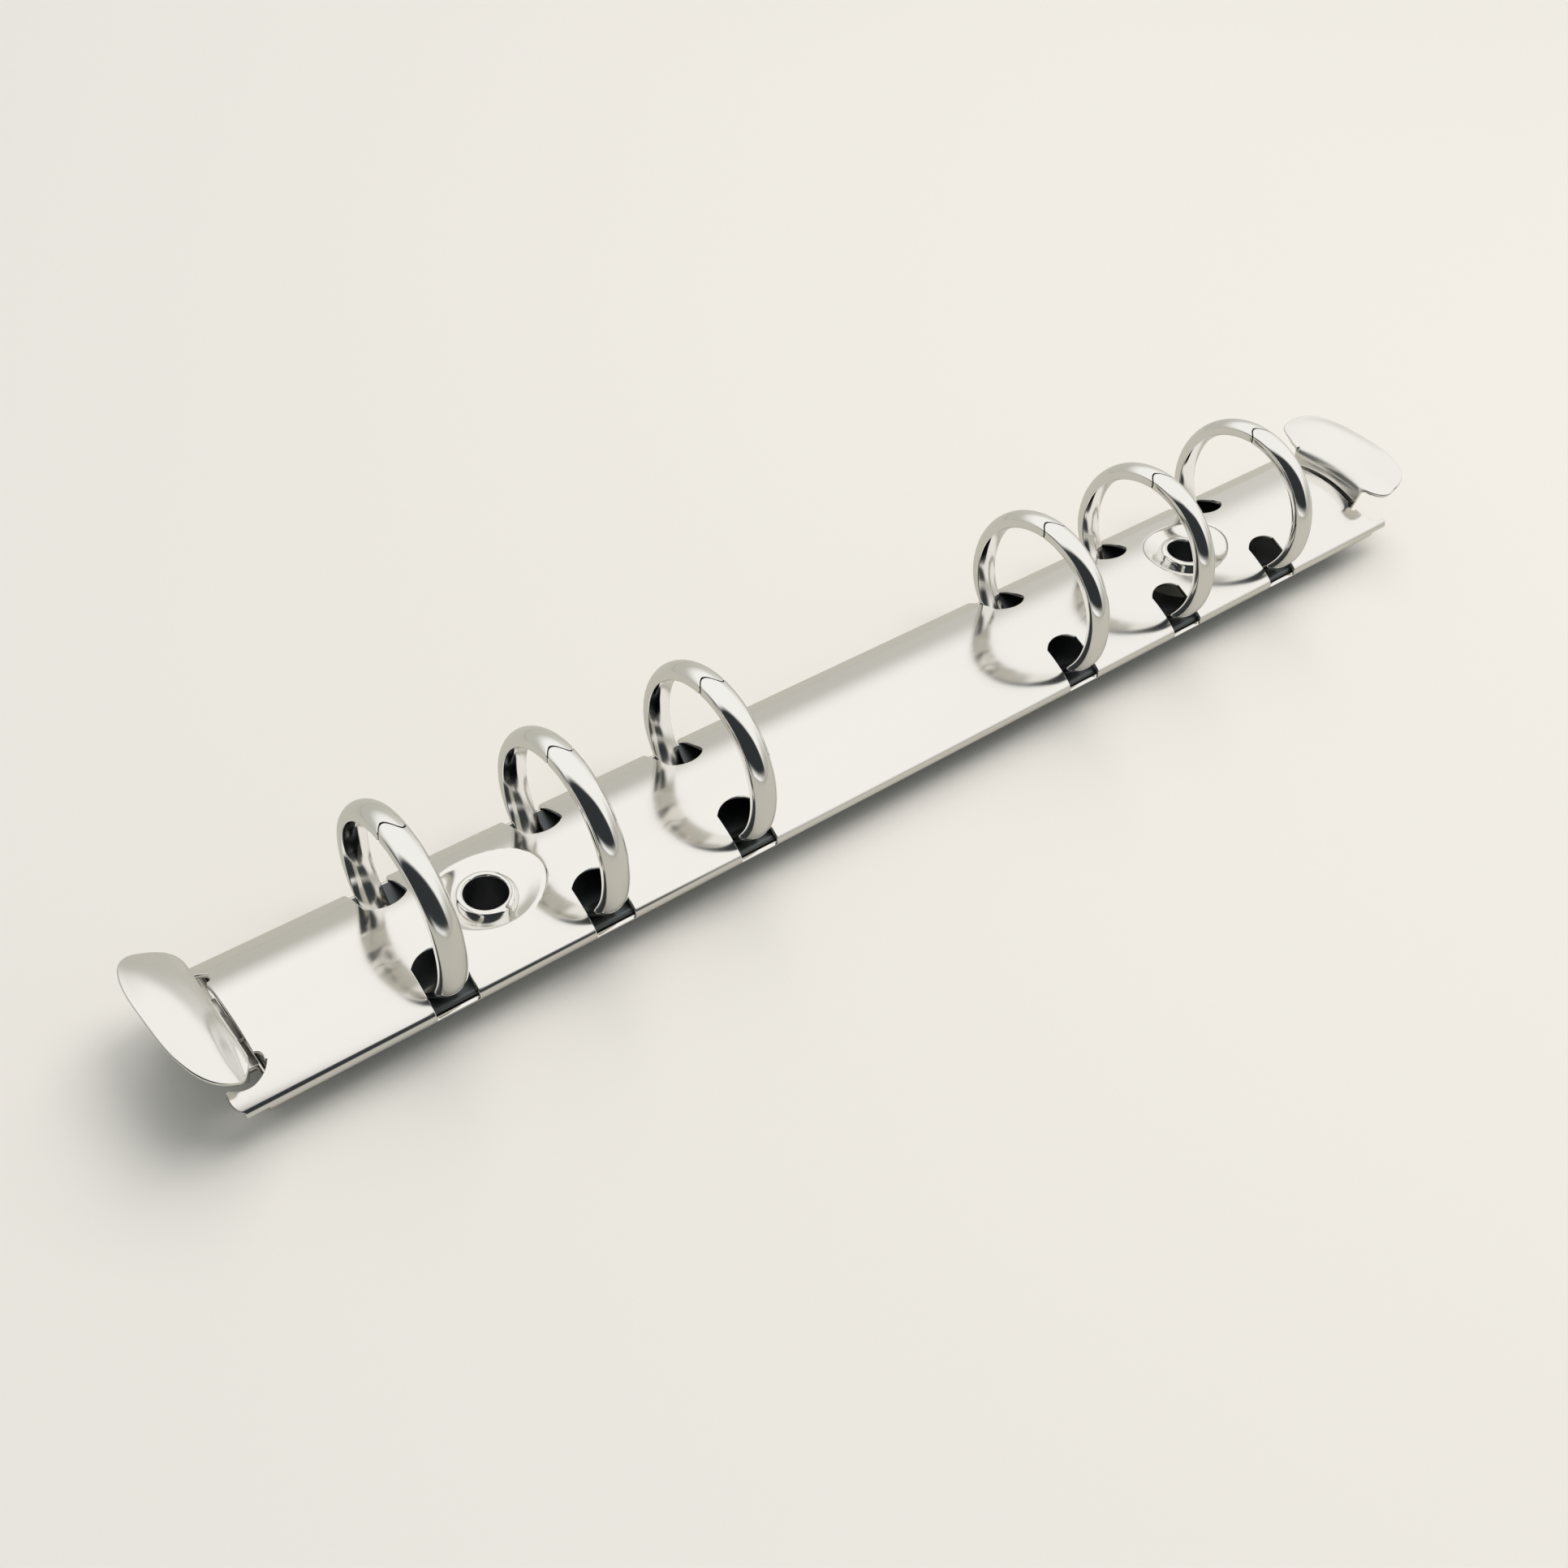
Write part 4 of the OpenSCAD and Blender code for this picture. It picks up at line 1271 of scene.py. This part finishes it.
@dataclass
class MountingPost:
    """Hollow post with a shoulder below the dimple and a rolled rim above it.

    Attributes:
        side: End of the mechanism that it stands at.
        spine: Driving sizes.
        bore_r: Radius of the bore.
        post_r: Outer radius below the shoulder.
        neck_r: Radius of the neck through the dimple.
        rim_r: Outer radius of the rim.
        rim_h: Height of the rim above its seat.
        rim_in: Radius of the rim's inner rounding.
        rim_foot: Height of the rim's widest point above its seat.
        floor_depth: Depth of the rim's seat below the crown.
        foot_edge_r: Radius of the foot's edges.
        seat_edge_r: Radius of the shoulder's edge.
        sides: Number of steps round the post.
    """

    side: Side
    spine: Spine = SPINE
    bore_r: float = 2.33
    post_r: float = 3.1
    neck_r: float = 2.75
    rim_r: float = 3.4
    rim_h: float = 1.05
    rim_in: float = 0.32
    rim_foot: float = 0.2
    floor_depth: float = 1.85
    foot_edge_r: float = 0.15
    seat_edge_r: float = 0.1
    sides: int = 128

    def build(self) -> None:
        """Builds and dresses the post."""
        k = self.spine
        floor = k.crown_z - self.floor_depth
        seat = floor - k.sheet_t
        crest = self.bore_r + self.rim_in
        over = np.radians(np.linspace(-60, 90, 26))
        roll = np.stack([crest + (self.rim_r - crest) * np.cos(over), np.sin(over)], -1)
        roll[:, 1] = floor + self.rim_foot + (self.rim_h - self.rim_foot) * roll[:, 1]
        roll = roll[roll[:, 1] > floor + 0.02]
        foot_r, seat_r = self.foot_edge_r, self.seat_edge_r
        profile = np.vstack([
            arc(self.bore_r + foot_r, foot_r, foot_r, 180, 270, 4),
            arc(self.post_r - foot_r, foot_r, foot_r, 270, 360, 4),
            arc(self.post_r - seat_r, seat - seat_r, seat_r, 0, 90, 4),
            [(self.neck_r, seat), (self.neck_r, floor)],
            roll,
            arc(crest, floor + self.rim_h - self.rim_in, self.rim_in, 100, 180, 10),
        ])
        shape = lathe(profile, self.sides).moved(np.eye(3), (self.side.value * k.post_pitch / 2, 0, 0))
        word = self.side.name.lower()
        piece = shape.piece(f"mounting_post_{word}")
        POST_FINISH.dress(piece, "housing", f"post_{word}")
        # The bore faces get the dark colour: painted shade inside the post.
        count = len(profile)
        bore = (count - 2, count - 1, 0)
        BORE_SHADE_FINISH.add_to(piece, (i * count + j for i in range(self.sides) for j in bore))


@dataclass
class HingePlates:
    """The two hinge plates, which keep their solids and get a dark steel finish: painted shade inside the
    housing.
    """

    nodes: tuple[str, ...] = ("blade_near", "blade_far")

    def build(self) -> None:
        """Dresses the plates."""
        for name in self.nodes:
            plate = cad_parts[name]
            plate.data.materials.clear()
            plate.data.materials.append(PLATE_SHADE_FINISH.material())
            LOG.info("%s keeps its solid", name)


@dataclass(frozen=True)
class Zone:
    """Part of the surroundings on one side, faded at its ends and its top.

    Attributes:
        azimuth: Compass direction of its middle, in degrees.
        spread: Cosine from its middle at which it starts, and at which it is full.
        top: Height in the ray's direction at which it starts, and at which it is full.
        colour: Its colour.
    """

    azimuth: float
    spread: Pair
    top: Pair
    colour: Colour


@dataclass(frozen=True)
class Screen:
    """Dark oval part of the surroundings.

    Attributes:
        azimuth: Compass direction of its middle, in degrees.
        centre: Its middle, sideways and upward in the ray's direction.
        half: Half its width and half its height.
        edge: Size of the oval at which it starts, and at which it is full.
        foot: Height above which it starts, and at which it is full.
        front: Length along its direction at which it starts, and at which it is full. It keeps the
            screen from showing on the other side too.
        colour: Its colour.
    """

    azimuth: float
    centre: Pair
    half: Pair
    edge: Pair
    foot: Pair
    front: Pair
    colour: Colour


@dataclass
class Ray:
    """Direction of a ray that meets the surroundings, as sockets of the world's node tree."""

    wires: Wiring
    x: Socket
    y: Socket
    z: Socket

    def along(self, azimuth: float) -> Socket:
        """Returns the ray's length along a compass direction in degrees."""
        turn = math.radians(azimuth)
        wires = self.wires
        return wires.plus(wires.times(self.x, math.cos(turn)), wires.times(self.y, math.sin(turn)))

    def toward(self, azimuth: float) -> Socket:
        """Returns the cosine of the angle round Z from a compass direction in degrees."""
        squares = self.wires.plus(self.wires.times(self.x, self.x), self.wires.times(self.y, self.y))
        flat = self.wires.calc("MAXIMUM", self.wires.calc("SQRT", squares), 0.001)
        return self.wires.calc("DIVIDE", self.along(azimuth), flat)

    def in_zone(self, zone: Zone) -> Socket:
        """Returns how much of a zone the ray meets."""
        high = self.wires.ramp(self.z, *zone.top)
        return self.wires.times(high, self.wires.ramp(self.toward(zone.azimuth), *zone.spread))

    def in_screen(self, screen: Screen) -> Socket:
        """Returns how much of the dark screen the ray meets."""
        wires = self.wires
        offsets = []
        for value, middle, half in zip((self.along(screen.azimuth + 90.0), self.z), screen.centre, screen.half):
            offset = wires.calc("DIVIDE", wires.calc("SUBTRACT", value, middle), half)
            offsets.append(wires.times(offset, offset))
        share = wires.ramp(wires.plus(*offsets), *screen.edge)
        share = wires.times(share, wires.ramp(self.along(screen.azimuth), *screen.front))
        return wires.times(share, wires.ramp(self.z, *screen.foot))


@dataclass
class Surroundings:
    """World round the mechanism: dim for the floor's shade, bright with dark parts for the metal."""

    sky: Colour = (1.0, 0.99, 0.965)
    wall: Zone = Zone(100.0, (-0.35, 1.0), (0.6, 0.24), (0.53, 0.525, 0.475))
    table: Zone = Zone(-55.0, (0.6, 0.95), (0.55, 0.1), (0.5, 0.49, 0.44))
    screen: Screen = Screen(
        azimuth=-122.0, centre=(-0.035, 0.2), half=(0.87, 0.74), edge=(1.06, 0.92), foot=(0.02, 0.2),
        front=(-0.05, 0.05), colour=(0.03, 0.034, 0.037),
    )
    corner: Zone = Zone(184.0, (0.68, 0.9), (0.64, 0.25), (0.03, 0.034, 0.037))
    fill: float = 0.395
    fill_colour: Colour = (0.92, 0.98, 1.0)

    def _mirrored(self, wires: Wiring) -> Socket:
        """Returns the colour that the metal mirrors in each direction."""
        split = wires.node("ShaderNodeSeparateXYZ")
        wires.feed(split.inputs["Vector"], wires.node("ShaderNodeTexCoord").outputs["Generated"])
        ray = Ray(wires, *(split.outputs[axis] for axis in "XYZ"))
        colour = wires.blend(ray.in_zone(self.wall), self.sky, self.wall.colour)
        colour = wires.blend(ray.in_zone(self.table), colour, self.table.colour)
        dark = wires.calc("MAXIMUM", ray.in_screen(self.screen), ray.in_zone(self.corner))
        return wires.blend(dark, colour, self.screen.colour)

    def build(self) -> None:
        """Sets them up: the camera sees the sky, the metal mirrors the zones, and the rest gets the fill."""
        world = bpy.data.worlds.new("surroundings")
        bpy.context.scene.world = world
        world.use_nodes = True
        world.node_tree.nodes.clear()
        wires = Wiring(world.node_tree)
        path = wires.node("ShaderNodeLightPath")
        camera_ray, mirror_ray = path.outputs["Is Camera Ray"], path.outputs["Is Glossy Ray"]
        seen = wires.node("ShaderNodeBackground")
        wires.feed(seen.inputs["Color"], wires.blend(camera_ray, self._mirrored(wires), self.sky))
        shade = wires.node("ShaderNodeBackground")
        shade.inputs["Color"].default_value = (*self.fill_colour, 1.0)
        shade.inputs["Strength"].default_value = self.fill
        shown = wires.calc("MAXIMUM", camera_ray, mirror_ray)
        shown = wires.calc("MAXIMUM", shown, path.outputs["Is Transmission Ray"])
        mix = wires.node("ShaderNodeMixShader")
        wires.feed(mix.inputs["Fac"], shown)
        wires.feed(mix.inputs[1], shade.outputs["Background"])
        wires.feed(mix.inputs[2], seen.outputs["Background"])
        out = wires.node("ShaderNodeOutputWorld")
        wires.feed(out.inputs["Surface"], mix.outputs["Shader"])


@dataclass(frozen=True)
class Lamp:
    """Soft square lamp that faces the middle of the mechanism.

    Attributes:
        name: Name of the lamp.
        at: Its place, in metres.
        size: Length of its sides, in metres.
        watts: Its power.
        colour: Its colour.
    """

    name: str
    at: Place
    size: float
    watts: float
    colour: Colour

    def build(self) -> None:
        """Hangs the lamp, out of sight of the metal."""
        data = bpy.data.lights.new(self.name, "AREA")
        data.size = self.size
        data.energy = self.watts
        data.color = self.colour
        made = bpy.data.objects.new(self.name, data)
        made.location = self.at
        made.rotation_euler = (-Vector(self.at)).to_track_quat("-Z", "Y").to_euler()
        made.visible_glossy = False
        bpy.context.scene.collection.objects.link(made)


WINDOW = Lamp("window", (1.1, 0.8, 2.6), 3.0, 56.0, (1.0, 0.955, 0.935))
CEILING = Lamp("ceiling", (0.16, -0.05, 0.5), 0.3, 0.68, (1.0, 0.955, 0.92))


@dataclass
class Studio:
    """Floor, light and camera round the mechanism, in metres and degrees."""

    eye: Place = (-0.11277, -0.10668, 0.14635)
    azimuth: float = 47.127
    elevation: float = -45.076
    roll: float = 6.676
    focal_mm: float = 40.194
    sensor_mm: float = 36.0
    nearest: float = 0.01
    floor_size: float = 6.0
    floor_rough: float = 0.9
    cloud_scale: float = 3.0
    cloud_detail: float = 2.0
    floor_light: Colour = (0.87, 0.845, 0.79)
    floor_shade: Colour = (0.83, 0.81, 0.755)
    floor_painted_reflection: Colour = (0.56, 0.545, 0.49)
    lamps: tuple[Lamp, ...] = (WINDOW, CEILING)

    def camera(self) -> None:
        """Places the camera."""
        data = bpy.data.cameras.new("camera")
        data.lens = self.focal_mm
        data.sensor_width = self.sensor_mm
        data.clip_start = self.nearest
        made = bpy.data.objects.new("camera", data)
        az, el = math.radians(self.azimuth), math.radians(self.elevation)
        ahead = Vector((math.cos(el) * math.cos(az), math.cos(el) * math.sin(az), math.sin(el)))
        level = ahead.cross(Vector((0, 0, 1))).normalized()
        up = level.cross(ahead)
        t = math.radians(self.roll)
        right = level * math.cos(t) + up * math.sin(t)
        up = right.cross(ahead)
        made.matrix_world = Matrix.Translation(self.eye) @ Matrix((right, up, -ahead)).transposed().to_4x4()
        bpy.context.scene.collection.objects.link(made)
        bpy.context.scene.camera = made

    def cover(self) -> bpy.types.Material:
        """Returns the floor's matt cover, with painted shade on its reflections: the metal mirrors it darker
        than it is.
        """
        made = bpy.data.materials.new("pale_floor")
        made.use_nodes = True
        wires = Wiring(made.node_tree)
        shader = made.node_tree.nodes["Principled BSDF"]
        shader.inputs["Roughness"].default_value = self.floor_rough
        shader.inputs["Specular IOR Level"].default_value = 0.0
        place = wires.node("ShaderNodeTexCoord").outputs["Object"]
        cloud = wires.noise(place, self.cloud_scale, self.cloud_detail)
        colour = wires.blend(cloud, self.floor_shade, self.floor_light)
        # Painted reflection: in the metal the floor shows a darker colour than the floor has.
        path = wires.node("ShaderNodeLightPath")
        colour = wires.blend(path.outputs["Is Glossy Ray"], colour, self.floor_painted_reflection)
        wires.feed(shader.inputs["Base Color"], colour)
        return made

    def floor(self) -> None:
        """Lays the pale floor."""
        half = self.floor_size / 2
        corners = [(-half, -half, 0), (half, -half, 0), (half, half, 0), (-half, half, 0)]
        mesh = bpy.data.meshes.new("floor")
        mesh.from_pydata(corners, [], [(0, 1, 2, 3)])
        made = bpy.data.objects.new("floor", mesh)
        bpy.context.scene.collection.objects.link(made)
        mesh.materials.append(self.cover())

    def build(self) -> None:
        """Sets the whole studio up."""
        bpy.context.scene.view_settings.view_transform = "Standard"
        self.camera()
        self.floor()
        Surroundings().build()
        for lamp in self.lamps:
            lamp.build()


def main() -> None:
    """Builds every piece in order."""
    logging.basicConfig(level=logging.INFO, format="%(message)s")
    Studio().build()
    HingePlates().build()
    Housing().build()
    for index in range(1, 7):
        for row in Row:
            RingHalf(index, row).build()
    Lever(Side.RIGHT, pad_reach=7.68, neck_gap=0.45, bend_more=2.0, bend_even=0.4, bulge_h=0.8).build()
    Lever(Side.LEFT, pad_shift=-0.05, neck_gap=1.05).build()
    for side in Side:
        MountingPost(side).build()


if __name__ == "__main__":
    main()
